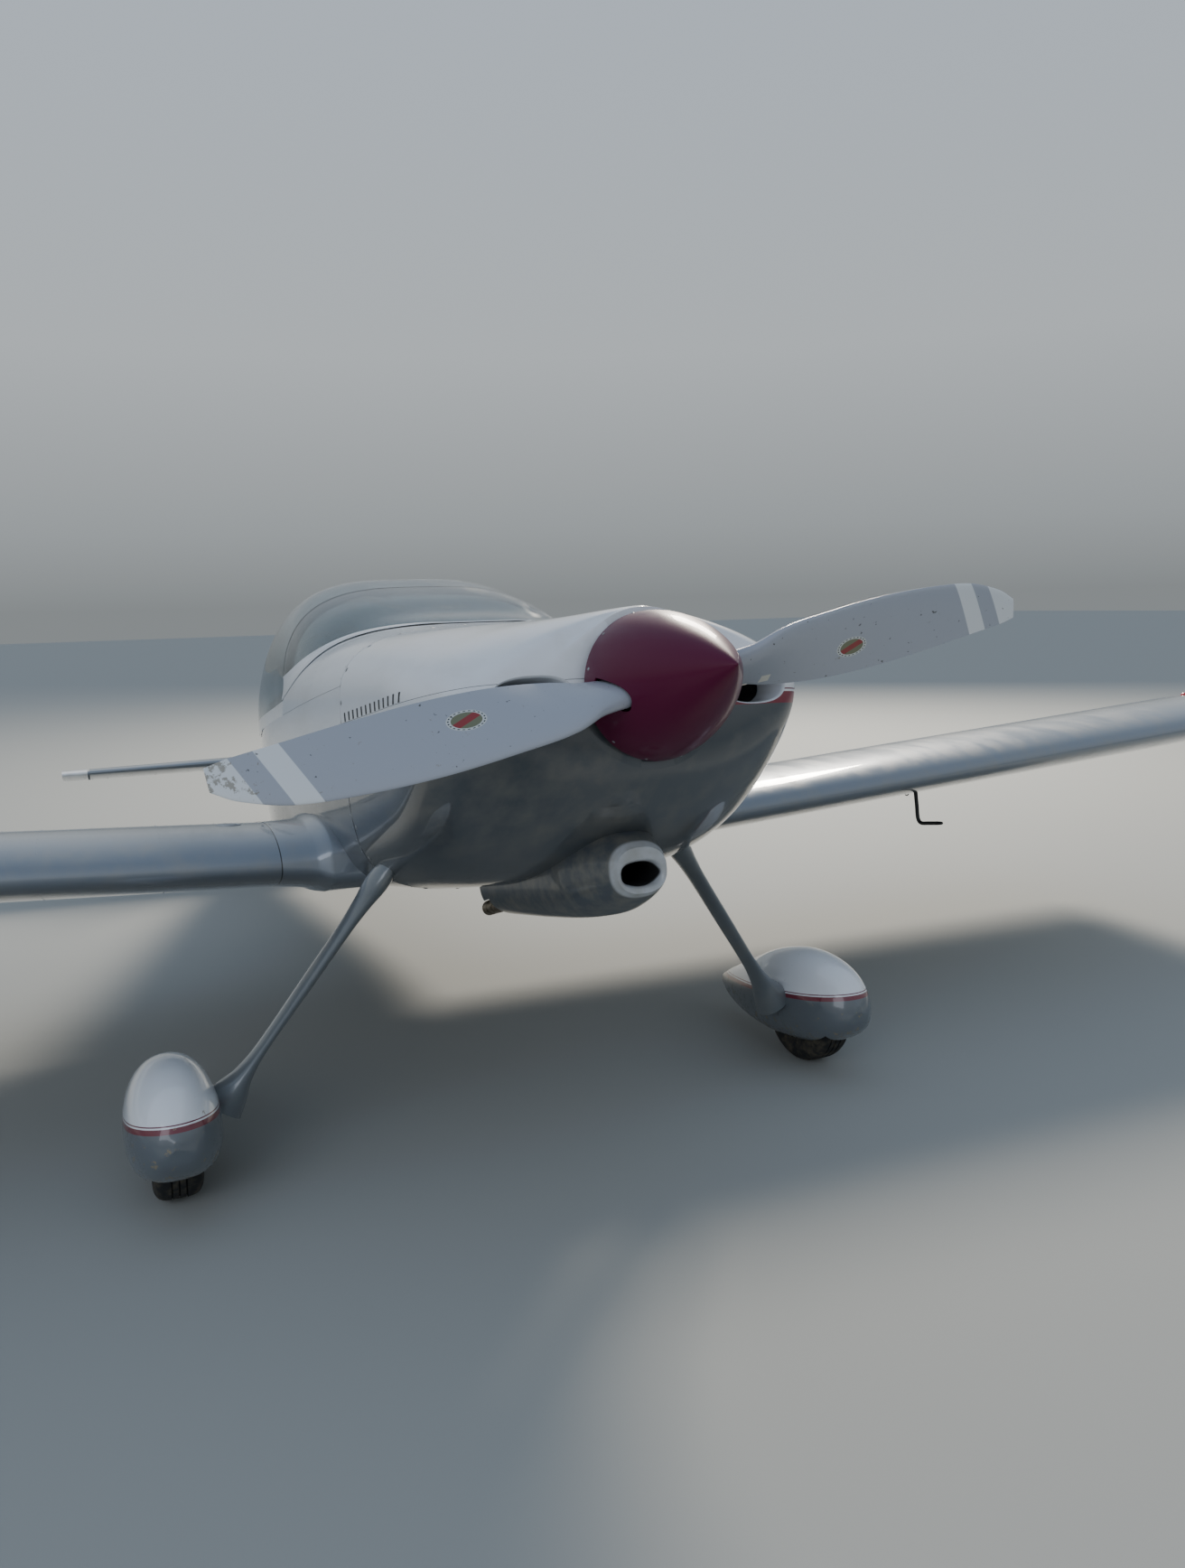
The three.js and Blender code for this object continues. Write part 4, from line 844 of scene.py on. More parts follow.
def hoop(y, radius, foot, count=90):
    """A tube hoop just under the acrylic at one station."""
    row = between(BUBBLE, [y])
    start = angle_at(row, foot)
    return swept(arc(row, start, np.pi - start, count, -GLASS - radius)[0], radius)


bow = hoop(640, 12, RAIL_Z + 2)
solid("windshield_hoop", [bow], trim, slot="black_trim", replaces=["windshield_bow"])
sliders = [block(x, (CANOPY_Y + 4, CANOPY_Y + 40), (RAIL_Z + 6, 157)) for x in ((451, 509), (-509, -451))]
solid("canopy_hoop", [hoop(CANOPY_Y + 16, 10, RAIL_Z + 8), *sliders], trim, "sliding_canopy",
      "black_trim", ["canopy_frame"])

# %% [markdown]
# A wing of constant chord is a row of equal ribs, so every skin is one section drawn along x. Where
# a flap or an aileron hangs, the section is cut by a circle about the hinge line: the fixed part keeps
# what is outside a slightly larger circle, and the moving part has the smaller one as its nose.

# %% Wing sections
def half_thick(s, thick):
    """Half thickness of a four-digit section as a share of its chord: a root and a cubic in s."""
    return 5 * thick * (0.2969 * np.sqrt(s) - 0.126 * s - 0.3516 * s ** 2 + 0.2843 * s ** 3 - 0.1036 * s ** 4)


def foil(chord, thick, camber=0.0, grow=0.0, edge=1.5, count=400):
    """Upper and lower lines of a section, as (aft, height) from the nose to the end."""
    s = (1 - np.cos(np.linspace(0, np.pi, count))) / 2
    middle = camber * np.sin(np.pi * s ** 0.6) * chord
    half = half_thick(s, thick) * chord + edge * s + grow
    aft = s * chord + grow * (2 * s - 1)
    return np.stack([aft, middle + half], -1), np.stack([aft, middle - half], -1)


def resample(line, count, crowd=True):
    """A line laid out again with steps that crowd at its nose."""
    run = run_of(line)
    share = np.linspace(0, 1, count)
    steps = run[-1] * (share ** 2 * (3 - 2 * share) * 0.35 + share ** 1.7 * 0.65 if crowd else share)
    return np.stack([np.interp(steps, run, values) for values in line.T], -1)


def whole_ring(upper, lower, count=70):
    """The closed section, from the end over the top to the nose and back below."""
    return np.concatenate([resample(upper, count)[::-1], resample(lower, count)[1:]])


def fixed_ring(upper, lower, pivot, radius, count=60):
    """The section ahead of a hinge: its skins up to the circle, joined by the circle's forward arc."""
    cuts, angles = [], []
    for line in (upper, lower):
        far = np.hypot(*(line - pivot).T)
        end = np.argmax((far < radius) | (line[:, 0] > pivot[0]))
        cuts.append(line[:end + 1])
        angles.append(np.arctan2(*(line[end] - pivot)[::-1]) % (2 * np.pi))
    turn_by = np.linspace(angles[1], angles[0], 18)[1:-1]
    cove = pivot + radius * np.stack([np.cos(turn_by), np.sin(turn_by)], -1)
    return np.concatenate([resample(cuts[0], count)[::-1], resample(cuts[1], count)[1:], cove])


def moving_ring(upper, lower, pivot, radius, count=40):
    """The section behind a hinge, with the circle as its nose, kept inside the skins."""
    arc_at = np.linspace(np.pi / 2, 1.5 * np.pi, 60)
    nose = pivot + radius * np.stack([np.cos(arc_at), np.sin(arc_at)], -1)
    nose[:, 1] = np.clip(nose[:, 1], np.interp(nose[:, 0], *lower.T), np.interp(nose[:, 0], *upper.T))
    top, low = upper[upper[:, 0] >= pivot[0]], lower[lower[:, 0] >= pivot[0]]
    return np.concatenate([resample(top, count, False)[::-1], nose[::2], resample(low, count, False)])


def capped(grid):
    """A closed body from equal rings, with one flat face at each end."""
    rows, columns = grid.shape[:2]
    end = np.arange(columns)[None]
    return grid.reshape(-1, 3), [quads(rows, columns, True), end[:, ::-1], end + (rows - 1) * columns]


print("greatest thickness of a 12 % section:", round(2 * half_thick(0.3, 0.12), 3))

# %% [markdown]
# The wing's two control surfaces share one rule, so a table names them and a loop makes both on each
# side. The root is thickened into a flared fairing that meets the cabin's side, and the tip closes the
# wing by shrinking the section over its last 105 mm.

# %% Wings
WING = {"root": 528, "seam": 3400, "chord": 1473, "z": -352, "thick": 0.135, "camber": 0.018}
# Lowest point of the flared root, level with the belly's skin
SLOPE, ROOT_LOW = math.tan(math.radians(3.5)), -442


def wing_z(x):
    """Height of the wing's chord line: the root's height plus 3.5 degrees of dihedral."""
    return WING["z"] + (np.abs(x) - WING["root"]) * SLOPE


def wing_lines(grow=0.0):
    """Upper and lower line of the wing's section, grown by an amount."""
    return foil(WING["chord"], WING["thick"], WING["camber"], grow)


wing_upper, wing_lower = wing_lines()
TIE_DOWN = (1900, 500)
CONTROLS = [
    # name, inner x, outer x, chord, hung on the lower skin
    ("flap", 566, 1975, 300, True),
    ("aileron", 1990, 3388, 290, False),
]


def under_wing(x, y):
    """Height of the wing's lower skin at a place."""
    return wing_z(x) + np.interp(y, *wing_lower.T)


def hinge_of(chord, low):
    """Hinge point of a control surface in the section, and the radius of its nose."""
    y = WING["chord"] - chord
    top, base = np.interp(y, *wing_upper.T), np.interp(y, *wing_lower.T)
    half = (top - base) / 2
    return np.array([y, base + 12 if low else (top + base) / 2]), 2 * half - 13 if low else half - 1


def placed_ring(ring, side, x, back=0.0, lowest=-np.inf):
    """A section stood on the wing at a distance from the middle, moved back and held above a height."""
    height = np.maximum(ring[:, 1] + wing_z(x), lowest)
    return np.stack([np.full(len(ring), side * float(x)), back + ring[:, 0], height], -1)


def spanwise(ring, side, x0, x1, count):
    """One section drawn from x0 to x1 along the wing's dihedral, closed at both ends."""
    return capped(np.array([placed_ring(ring, side, x) for x in np.linspace(x0, x1, count)]))


# x, growth of the root's flare
FLARE = [[400, 24], [515, 24], [560, 9], [655, 1]]
# x, share of thickness, nose set back, end set forward
TIP = [[3400.3, 1, 0, 0], [3445, 0.86, 14, 4], [3485, 0.55, 48, 14], [3505, 0.2, 110, 34]]
full = whole_ring(wing_upper, wing_lower)
cabin_side = tube(rings(rows_of(HULL, FIREWALL, CABIN_END - 10, 40), circle(120), -10))
for side, word in SIDES:
    panels = []
    for name, inner, outer, chord, low in CONTROLS:
        pivot, radius = hinge_of(chord, low)
        moving = moving_ring(wing_upper, wing_lower, pivot, radius)
        solid(f"{name}_skin_{word}", [spanwise(moving, side, inner, outer, 30)], silver_enamel,
              f"{name}_{word}", "silver_paint", [f"{name}_{word}"])
        cove = fixed_ring(wing_upper, wing_lower, pivot, radius + 6)
        panels.append(spanwise(cove, side, inner - 6, outer + 6, 30))
    panels.append(spanwise(full, side, 1981, 1984, 2))
    panels.append(spanwise(full, side, 3394, WING["seam"], 2))
    # Root with its flared fairing, cut along the cabin's side 10 mm inside its skin
    rows = []
    for x in [300, *np.linspace(515, 560, 14)]:
        puffed = wing_lines(between(FLARE, [max(x, 515)])[0, 1])
        fade = np.clip((1153 - puffed[0][:, :1]) / 60, 0, 1)
        lines = [plain + (big - plain) * fade for plain, big in zip(wing_lines(), puffed)]
        rows.append(placed_ring(whole_ring(*lines), side, x, lowest=ROOT_LOW))
    root = solid(f"wing_root_{word}", [capped(np.array(rows))], wing_enamel, slot="silver_paint",
                 replaces=[f"wing_{word}"])
    carve(root, [cabin_side])
    # The flare runs out over the first ribs as a thin shell round the panel's nose
    rows = []
    for x in np.linspace(560, 655, 16):
        for grow in (between(FLARE, [x])[0, 1], -1.0):
            lines = [line[line[:, 0] < 1148] for line in wing_lines(grow)]
            rows.append(placed_ring(whole_ring(*lines), side, x, lowest=ROOT_LOW))
    panels.append(sheet(np.array(rows[::2]), np.array(rows[1::2])))
    # A boss under the wing takes the tie-down ring
    angles = circle(24)
    across, aft = side * TIE_DOWN[0] + 16 * np.cos(angles), TIE_DOWN[1] + 16 * np.sin(angles)
    boss = [np.stack([across, aft, np.full(24, under_wing(*TIE_DOWN) + up)], -1) for up in (20, -3)]
    panels.append(capped(np.array(boss)))
    solid(f"wing_skin_{word}", panels, wing_enamel, slot="silver_paint", replaces=[f"wing_{word}"])
    rows = []
    for x, share, back, fore in rows_of(TIP, 3400.3, 3505, 26, 0.8):
        lines = foil(WING["chord"] - back - fore, WING["thick"] * share, WING["camber"])
        rows.append(placed_ring(whole_ring(*lines), side, x, back))
    solid(f"wing_tip_moulding_{word}", [capped(np.array(rows))], white_enamel, slot="white_paint",
          replaces=[f"wing_tip_{word}"])

# %% [markdown]
# Tail surfaces are the same kind of section on tapered plans. The tailplane's two halves meet in the
# tail cone, the elevators leave room for the rudder, and both carry a horn ahead of the hinge at the
# tip, which balances them.

# %% Tail surfaces
TAIL = {"root": 3500, "tip": 3668, "hinge": 4010, "end": 4335, "span": 1310, "horn": 1180, "z": 120}


def tail_lines(x):
    """Skins of the tailplane's section at a distance from the middle, as (y, height)."""
    nose = TAIL["root"] + (TAIL["tip"] - TAIL["root"]) * x / TAIL["span"]
    return [line + np.array([nose, 0]) for line in foil(TAIL["end"] - nose, 0.085)]


def elevator_edge(y):
    """Where the elevator's inner end lies at a station: it leaves room for the rudder's swing."""
    return np.interp(y, [3950, 4050, 4345], [60, 74, 180])


def tail_grid(side, stations, ring_of, *nose, inner_edge=None):
    """Sections of the tailplane drawn sideways; an inner edge gives the first one its own outline."""
    rows = []
    first, last = stations[0], stations[-1]
    for x in stations:
        ring = ring_of(*tail_lines(x), *nose)
        start = inner_edge(ring[:, 0]) if inner_edge else first
        at = start + (x - first) * (last - start) / (last - first) + 0 * ring[:, 0]
        rows.append(np.stack([side * at, ring[:, 0], ring[:, 1] + TAIL["z"]], -1))
    return capped(np.array(rows))


pivot = np.array([TAIL["hinge"], 0.0])
plane, horns = [], []
for side, word in SIDES:
    plane.append(tail_grid(side, np.linspace(0, TAIL["horn"] - 10, 30), fixed_ring, pivot, 33))
    moving = tail_grid(side, np.linspace(66, TAIL["horn"] - 0.2, 30), moving_ring, pivot, 27,
                       inner_edge=elevator_edge)
    solid(f"elevator_skin_{word}", [moving], silver_enamel, "elevator", "silver_paint", ["elevators"])
    horns.append(tail_grid(side, np.linspace(TAIL["horn"], TAIL["span"], 8), whole_ring))
solid("tailplane_skin", plane, silver_enamel, slot="grey_paint", replaces=["tailplane"])
tube_line = [[x, TAIL["hinge"], TAIL["z"]] for x in np.linspace(-95, 95, 5)]
solid("elevator_horns", [*horns, swept(tube_line, 12, 20)], white_enamel, "elevator", "silver_paint",
      ["elevators"])

FIN = {"foot_y": 3480, "top_y": 3840, "end_foot": 4700, "end_top": 4520, "foot": -60, "top": 880, "horn": 770}


def fin_edges(z):
    """The share of the fin's height, and its nose and end there."""
    share = (z - FIN["foot"]) / (FIN["top"] - FIN["foot"])
    nose = FIN["foot_y"] + (FIN["top_y"] - FIN["foot_y"]) * share
    return share, nose, FIN["end_foot"] + (FIN["end_top"] - FIN["end_foot"]) * share


def fin_grid(stations, ring_of, gap=0):
    """Sections of the fin or rudder drawn upwards; the hinge circle narrows from 33 to 20 mm."""
    rows = []
    for z in stations:
        share, nose, end = fin_edges(z)
        lines = [line + np.array([nose, 0]) for line in foil(end - nose, 0.068)]
        hinge = () if ring_of is whole_ring else (np.array([POST_Y, 0.0]), 33 - 13 * share + gap)
        ring = ring_of(*lines, *hinge)
        rows.append(np.stack([ring[:, 1], ring[:, 0], np.full(len(ring), z)], -1))
    return capped(np.array(rows))


fin = fin_grid(np.linspace(117, FIN["horn"] - 10, 30), fixed_ring, 6)
solid("fin_skin", [fin], white_enamel, slot="white_paint", replaces=["fin"])
rudder = fin_grid(np.linspace(FIN["foot"], FIN["horn"], 40), moving_ring)
balance = fin_grid(np.linspace(FIN["horn"] + 0.2, FIN["top"], 8), whole_ring)
for name, part in (("rudder_skin", rudder), ("rudder_balance", balance)):
    solid(name, [part], white_enamel, "rudder", "white_paint", ["rudder"])

# %% [markdown]
# Each main leg is a tapered steel rod inside a streamlined fairing, with a flared cuff where it meets
# the belly and a second one at the wheel's fairing. The section is a lens, long in the direction of
# flight, and its two sizes follow one table down the leg.

# %% Landing gear legs and wheel fairings
LEG_TOP, LEG_FOOT = np.array([372.0, -291, -300]), np.array([897.0, 10, -999])
LEG = [
    # share of the way down, chord, thickness
    [0.03, 60, 30], [0.08, 86, 42], [0.12, 110, 58], [0.16, 116, 59], [0.22, 102, 46], [0.3, 93, 37],
    [0.5, 89, 34], [0.75, 87, 32], [0.84, 104, 52], [0.9, 129, 91], [0.96, 149, 122],
]
lean = math.atan2(LEG_TOP[2] - LEG_FOOT[2], LEG_FOOT[0] - LEG_TOP[0])
PANT = [
    # ahead of the axle, half width, top, bottom
    [290, 10, 40, 16], [278, 45, 78, -24], [240, 82, 126, -62], [180, 108, 162, -88], [100, 120, 187, -104],
    [0, 122, 195, -108], [-140, 116, 176, -102], [-300, 88, 126, -78], [-450, 48, 78, -38], [-545, 12, 42, 8],
]


def hub_of(side):
    """The middle of a main wheel."""
    return np.array([side * WHEEL["x"], WHEEL["y"], WHEEL["z"]])


def pant_body(side, ahead, grow=0.0, count=96):
    """A wheel fairing about its axle: superellipses with the waist at a quarter of top plus bottom."""
    ahead_of, half, top, low = between(PANT, ahead).T
    rows = np.stack([-ahead_of, half, top, low, (top + low) / 4, 2.1 + 0 * half, 2.6 + 0 * half], -1)
    return tube(rings(rows, circle(count), grow) + hub_of(side))


def sprayed_pant():
    """White over grey with the maroon stripe that wraps the fairing level at its widest line."""
    paint = Finish("sprayed_enamel_fairing", "#e9ecf0", 0.3, coat=1.0)
    hub_z = WHEEL["z"] / 1000
    under = paint.y * -0.02 + (hub_z + 0.072) - paint.z
    steps = [(0.0, "#6a1430"), (0.003, "#e9ecf0"), (0.007, "#6d0f2a"), (0.020, "#5f666c")]
    # Dried mud thrown up on the front and the lower half
    mud = paint.noise(26, 8, rough=0.75) + paint.z.ramp(hub_z + 0.14, hub_z - 0.1, 0, 0.12)
    colour = mud.ramp(0.66, 0.7, 0, 0.85).blend(under.bands("#e9ecf0", steps), "#8b7f66")
    return paint.done(colour, mud.ramp(0.6, 0.7, 0.3, 0.75))


pant_paint = sprayed_pant()
for side, word in SIDES:
    rows = between(LEG, np.linspace(0.03, 0.96, 80))
    core = LEG_TOP + rows[:, :1] * (LEG_FOOT - LEG_TOP)
    along, off = np.cos(circle(56)) * rows[:, 1:2] / 2, np.sin(circle(56)) * rows[:, 2:3] / 2
    grid = np.stack([side * (core[:, :1] + off * math.sin(lean)), core[:, 1:2] + along,
                     core[:, 2:3] + off * math.cos(lean)], -1)
    x, y, z = hub_of(side)
    axle = swept([[across, y, z] for across in side * np.linspace(877, 1110, 5)], 15, 24)
    solid(f"leg_fairing_{word}", [tube(grid), axle], grey_enamel, slot="grey_paint",
          replaces=[f"gear_leg_{word}"])

    ahead = 290 - 835 * (1 - np.cos(np.linspace(0, np.pi, 90))) / 2
    pant = solid(f"wheel_fairing_{word}", [pant_body(side, ahead)], pant_paint, slot="white_paint",
                 replaces=[f"wheel_pant_{word}"])
    well = block((x - 75.5, x + 75.5), (y - 205, y + 205), (z - 400, z))
    carve(pant, [pant_body(side, np.linspace(262, -330, 24), -6, 48), well])

# %% [markdown]
# A tyre is a turned body whose tread has three grooves round it. The profile runs from one bead over
# the tread to the other and back inside, and is spun about the axle. The wheel inside it is cast, with
# a thin web, and the brake's disc stands beside the web.

# %% Wheels
def spun(profile, centre, count=96, axis="x"):
    """A closed profile of (radius, along) spun about an axle; x across, or y along the aircraft."""
    radius, along = np.asarray(profile, float).T
    angles = circle(count)[:, None]
    a, b, c = along + 0 * angles, radius * np.cos(angles), radius * np.sin(angles)
    points = np.stack([a, b, c] if axis == "x" else [b, a, c], -1) + np.asarray(centre, float)
    index = np.arange(count * len(radius)).reshape(count, len(radius))
    after = np.roll(index, -1, 0)
    faces = np.stack([index, np.roll(index, -1, 1), np.roll(after, -1, 1), after], -1).reshape(-1, 4)
    return points.reshape(-1, 3), [faces]


# Tyre rubber: matt black, browned by dust in its pores
rubber = worn("tyre_rubber_worn", "#17181a", "#5f5848", 0.75, most=0.7, bump=(4, 0.3, 0.001))
# Cast magnesium under aluminium paint: satin, brake dust in its corners
alloy = worn("cast_magnesium_painted", "#b9bcbf", "#6e695f", 0.45, 0.6, grain_mm=40)


def both_ways(half, middle=()):
    """A profile of (radius, along) carried on over its middle as its own mirror image."""
    return [*half, *middle, *[[radius, -along] for radius, along in half[::-1]]]


def tyre_profile(outer, inner, half, grooves):
    """Half a cross-section mirrored: bead, wall as an ellipse's quarter, flat tread with grooves."""
    bulge = np.linspace(0, 1, 14)[1:]
    mid = (outer + inner) / 2
    wall = np.stack([mid + (outer - mid) * np.sin(bulge * np.pi / 2) ** 0.9,
                     half * np.cos(bulge * np.pi / 2) ** 0.45], -1)
    wall = wall[wall[:, 1] > half * 0.42]
    tread = []
    for at in grooves:
        tread += [[outer, at + 2.2], [outer - 5, at + 1.6], [outer - 5, at - 1.6], [outer, at - 2.2]]
    right = [[inner, half * 0.62], [inner + 12, half * 0.85], [mid - 6, half * 0.99], *wall.tolist(),
             [outer, half * 0.4]]
    return both_ways(right, tread)


tyre = tyre_profile(WHEEL["radius"], WHEEL["rim"], WHEEL["width"] / 2, (18, 0, -18))
rim = both_ways([[15.6, -52], [34, -52], [36, -18], [68, -16], [72, -24], [81, -44], [81.7, -44]])
for side, word in SIDES:
    body, centre = f"main_wheel_{word}", hub_of(side)
    solid(f"tyre_tread_{word}", [spun(tyre, centre)], rubber, body, "tyre_rubber", [f"tyre_{word}"])
    solid(f"wheel_casting_{word}", [spun(rim, centre, 72)], alloy, body, "cast_alloy", [f"wheel_rim_{word}"])
    middle = -side * 26
    disc = [[38, middle - 3], [66, middle - 3], [66, middle + 3], [38, middle + 3]]
    solid(f"brake_disc_{word}", [spun(disc, centre, 60)], alloy, body, "cast_alloy")
TAIL_HUB = np.array([0, 4547, -301.0])
half = [[6.6, -22], [20, -25], [38, -24], [46, -21], [60, -25], [70, -22], [75.5, -10]]
tail_tyre = both_ways(half, [[76, 0]])
solid("tailwheel_tyre", [spun(tail_tyre, TAIL_HUB, 72)], rubber, "tailwheel", "tyre_rubber", ["tailwheel"])

# %% [markdown]
# The propeller is carved to one pitch: every section lies on the same screw, so its angle is the
# pitch over the distance round the circle at that radius. Its paint is drawn in the blades' own
# directions, along them and across, at the angle at which the propeller stopped.

# %% Propeller
PROP = {"y": -1172, "radius": 930, "tilt": math.radians(-7.95), "pitch": 1600}
BLADE = [
    # radius, chord, leading edge ahead of the pitch line, thickness
    [55, 76, 38, 44], [170, 112, 54, 36], [250, 151, 81, 30], [375, 163, 88, 23], [525, 162, 93, 17],
    [670, 145, 89, 12.5], [800, 118, 76, 9], [890, 79, 46, 6.5], [PROP["radius"], 45, 20, 4.5],
]


def blade_body(side, radii, grow=0.0, count=40):
    """A blade: each section a thin foil laid along the screw's slope at its radius. It points along x
    and is then turned about the shaft to the angle at which it rests."""
    out = []
    for radius, chord, lead, thick in between(BLADE, radii):
        upper, lower = foil(chord, thick / chord, 0, grow, 0.8)
        ring = whole_ring(upper, lower, count)
        slope = math.atan(PROP["pitch"] / (2 * math.pi * max(radius, 190)))
        ahead, off = lead - ring[:, 0], ring[:, 1]
        out.append(np.stack([np.full(len(ring), side * radius),
                             PROP["y"] - ahead * math.sin(slope) + off * math.cos(slope),
                             side * (ahead * math.cos(slope) + off * math.sin(slope))], -1))
    c, s = math.cos(PROP["tilt"]), math.sin(PROP["tilt"])
    x, y, z = np.moveaxis(np.array(out), -1, 0)
    return tube(np.stack([c * x + s * z, y, -s * x + c * z], -1))


radii = np.concatenate([np.linspace(30, 900, 80), np.linspace(905, PROP["radius"], 8)])
hub = [[0.1, -1222], [60, -1222], [62, -1216], [62, -1104], [60, -1100], [0.1, -1100]]
hub_body = spun(hub, [0, 0, 0], 60, "y")


def blade_finish():
    """Satin grey blades: pale bands, a plain oval mark on each front face, mud and chips towards the tips."""
    paint = Finish("satin_grey_blade", "#a4a9b3", 0.33, 0.1, coat=0.5)
    c, s = math.cos(PROP["tilt"]), math.sin(PROP["tilt"])
    along, across = paint.x * c - paint.z * s, paint.x * s + paint.z * c
    # The bands are painted slanted: their edges lean by 0.42 of the height
    reach = abs(across * 0.42 + along)
    steps = [(0.778, "#dde1e3"), (0.8265, "#a4a9b3"), (0.873, "#dde1e3")]
    colour = reach.bands("#a4a9b3", steps, 0.0015)
    # Ovals: 82 by 40 mm, 450 mm out, on the forward faces alone
    half_long, half_high = 0.041, 0.020
    u = abs(along) - 0.450
    v = maths("SIGN", along) * across + 0.010
    oval = (u / half_long) ** 2 + (v / half_high) ** 2
    normal = add(paint.tree, "NewGeometry").outputs["Normal"]
    facing = Value(paint.tree, add(paint.tree, "SeparateXYZ", [(normal, 0)]).outputs[1])
    forward_face = facing.ramp(-0.05, -0.1)
    field = abs(u * -0.35 + v).ramp(0.006, 0.0066).blend("#8f2a2c", "#6f7257")
    around = maths("ARCTAN2", v / half_high, u / half_long)
    dots = maths("SINE", around * 22.0).near(1.0, 1.0)
    edge = (oval.near(0.80, 0.07) * dots).blend("#c9cdcb", "#2c2e30")
    mark = oval.ramp(0.58, 0.60).blend(field, edge)
    colour = (oval.ramp(1.0, 0.97) * forward_face).blend(colour, mark)
    # A small pale inspection label near the port root
    label = along.near(0.235, 0.011) * across.near(-0.036, 0.006)
    colour = (label * forward_face).blend(colour, "#d9d6c9")
    # Specks all over, and chips with dried mud, thickest on the starboard tip
    specks = paint.noise(13, 3, rough=0.5)
    colour = specks.ramp(0.70, 0.72, 0, 0.8).blend(colour, "#3b3830")
    chips = paint.noise(18, 8, rough=0.7) + (along * -1.0).ramp(0.80, 0.92, 0, 0.17)
    colour = chips.ramp(0.66, 0.70, 0, 0.75).blend(colour, "#857c6a")
    return paint.done(colour, chips.ramp(0.5, 0.7, 0.3, 0.6))


blade_paint = blade_finish()
solid("propeller_blades", [*[blade_body(side, radii) for side, _ in SIDES], hub_body], blade_paint,
      "propeller_unit", "blade_paint", ["propeller"])

# %% [markdown]
# The spinner is a turned shell whose outline is a power curve, sharp at the nose. Each blade comes out
# of it through a cut-out, which is a slightly larger blade root subtracted from the shell.

# %% Spinner
SPIN = {"radius": 160, "back": -1083, "length": 350, "fullness": 1.56, "taper": 0.92}
t = 1 - (1 - np.linspace(0, 1, 90)) ** 1.6
shell_r = SPIN["radius"] * (1 - t ** SPIN["fullness"]) ** SPIN["taper"]
shell_y = SPIN["back"] - SPIN["length"] * t
outside = np.stack([np.maximum(shell_r, 0.1), shell_y], -1)
inside = np.stack([np.maximum(shell_r - 3, 0.1), np.minimum(shell_y + 3, SPIN["back"] - 4)], -1)
nose = [[0.1, shell_y[-1]], [0.1, shell_y[-1] + 5]]
back = [[62.5, SPIN["back"] - 4], [62.5, SPIN["back"]]]
profile = np.concatenate([outside[:-1], nose, inside[:-6][::-1], back])
spinner = solid("spinner_shell", [spun(profile, [0, 0, 0], 128, "y")], plum_enamel, "propeller_unit",
                "plum_paint", ["spinner"])
carve(spinner, [blade_body(side, np.linspace(64, 260, 14), 5) for side, _ in SIDES])

# %% [markdown]
# Every control surface hangs on plates that stand out of the fixed structure and hold a pin. The plate
# is a tongue with a round end and a bore, the pin belongs to the moving surface, and the surface has a
# slot round each plate, wide enough to swing through its whole range.

# %% Hinges
PIN = {"radius": 4, "bore": 4.5, "eye": 11, "plate": 3, "slot": 10}


def axes_of(point, foot, line):
    """Unit vectors towards the foot and square to it and the hinge line, and the foot's distance."""
    back = np.subtract(foot, point)
    return unit(back), np.cross(line, unit(back)), np.linalg.norm(back)


def tongue(point, foot, line):
    """A plate from the foot round the pin: the outline's distance from the pin, by angle, and the bore."""
    back, up, reach = axes_of(point, foot, line)
    corner = math.atan2(PIN["eye"], reach)
    angles = np.concatenate([[-corner, corner], np.linspace(np.pi / 2, 1.5 * np.pi, 9)])
    far = np.where(np.cos(angles) > 0.01, reach / np.maximum(np.cos(angles), 0.01), PIN["eye"])
    rims = []
    for radius in (far, np.full(len(angles), PIN["bore"])):
        flat = point + (radius * np.cos(angles))[:, None] * back + (radius * np.sin(angles))[:, None] * up
        rims.append(np.stack([flat + at * line for at in (-PIN["plate"], PIN["plate"])]))
    return sleeve(*rims)


def pin_at(point, line):
    """The pin: a short rod that reaches 3 mm into the skin on each side of the slot."""
    return swept(point + np.linspace(-1, 1, 3)[:, None] * (PIN["slot"] + 3) * line, PIN["radius"])


def slot_at(point, foot, line, behind=20):
    """The room cut out of a moving skin round one plate."""
    back, up, reach = axes_of(point, foot, line)
    high, wide = (behind + 45) * up, PIN["slot"] * line
    ring = np.array([-high - wide, high - wide, high + wide, wide - high])
    return tube(np.stack([point + at * back + ring for at in (-behind, reach)]))


# Zinc-plated steel: bright grey, dulled where dust sits
steel = worn("zinc_plated_steel", "#a9abad", "#77736a", 0.36, 1.0, grain_mm=25, most=0.5)
plates = []


def hang(piece_name, body, slot, places):
    """Slots and pins of one moving skin, and the fixed plates, at each (point, foot, line)."""
    places = [(np.array(point, float), foot, unit(line)) for point, foot, line in places]
    carve(bpy.data.objects[piece_name], [slot_at(*spot) for spot in places])
    pins = [pin_at(point, line) for point, _, line in places]
    solid(piece_name.replace("skin", "hinge_pins"), pins, steel, body, slot)
    plates.extend(tongue(*spot) for spot in places)


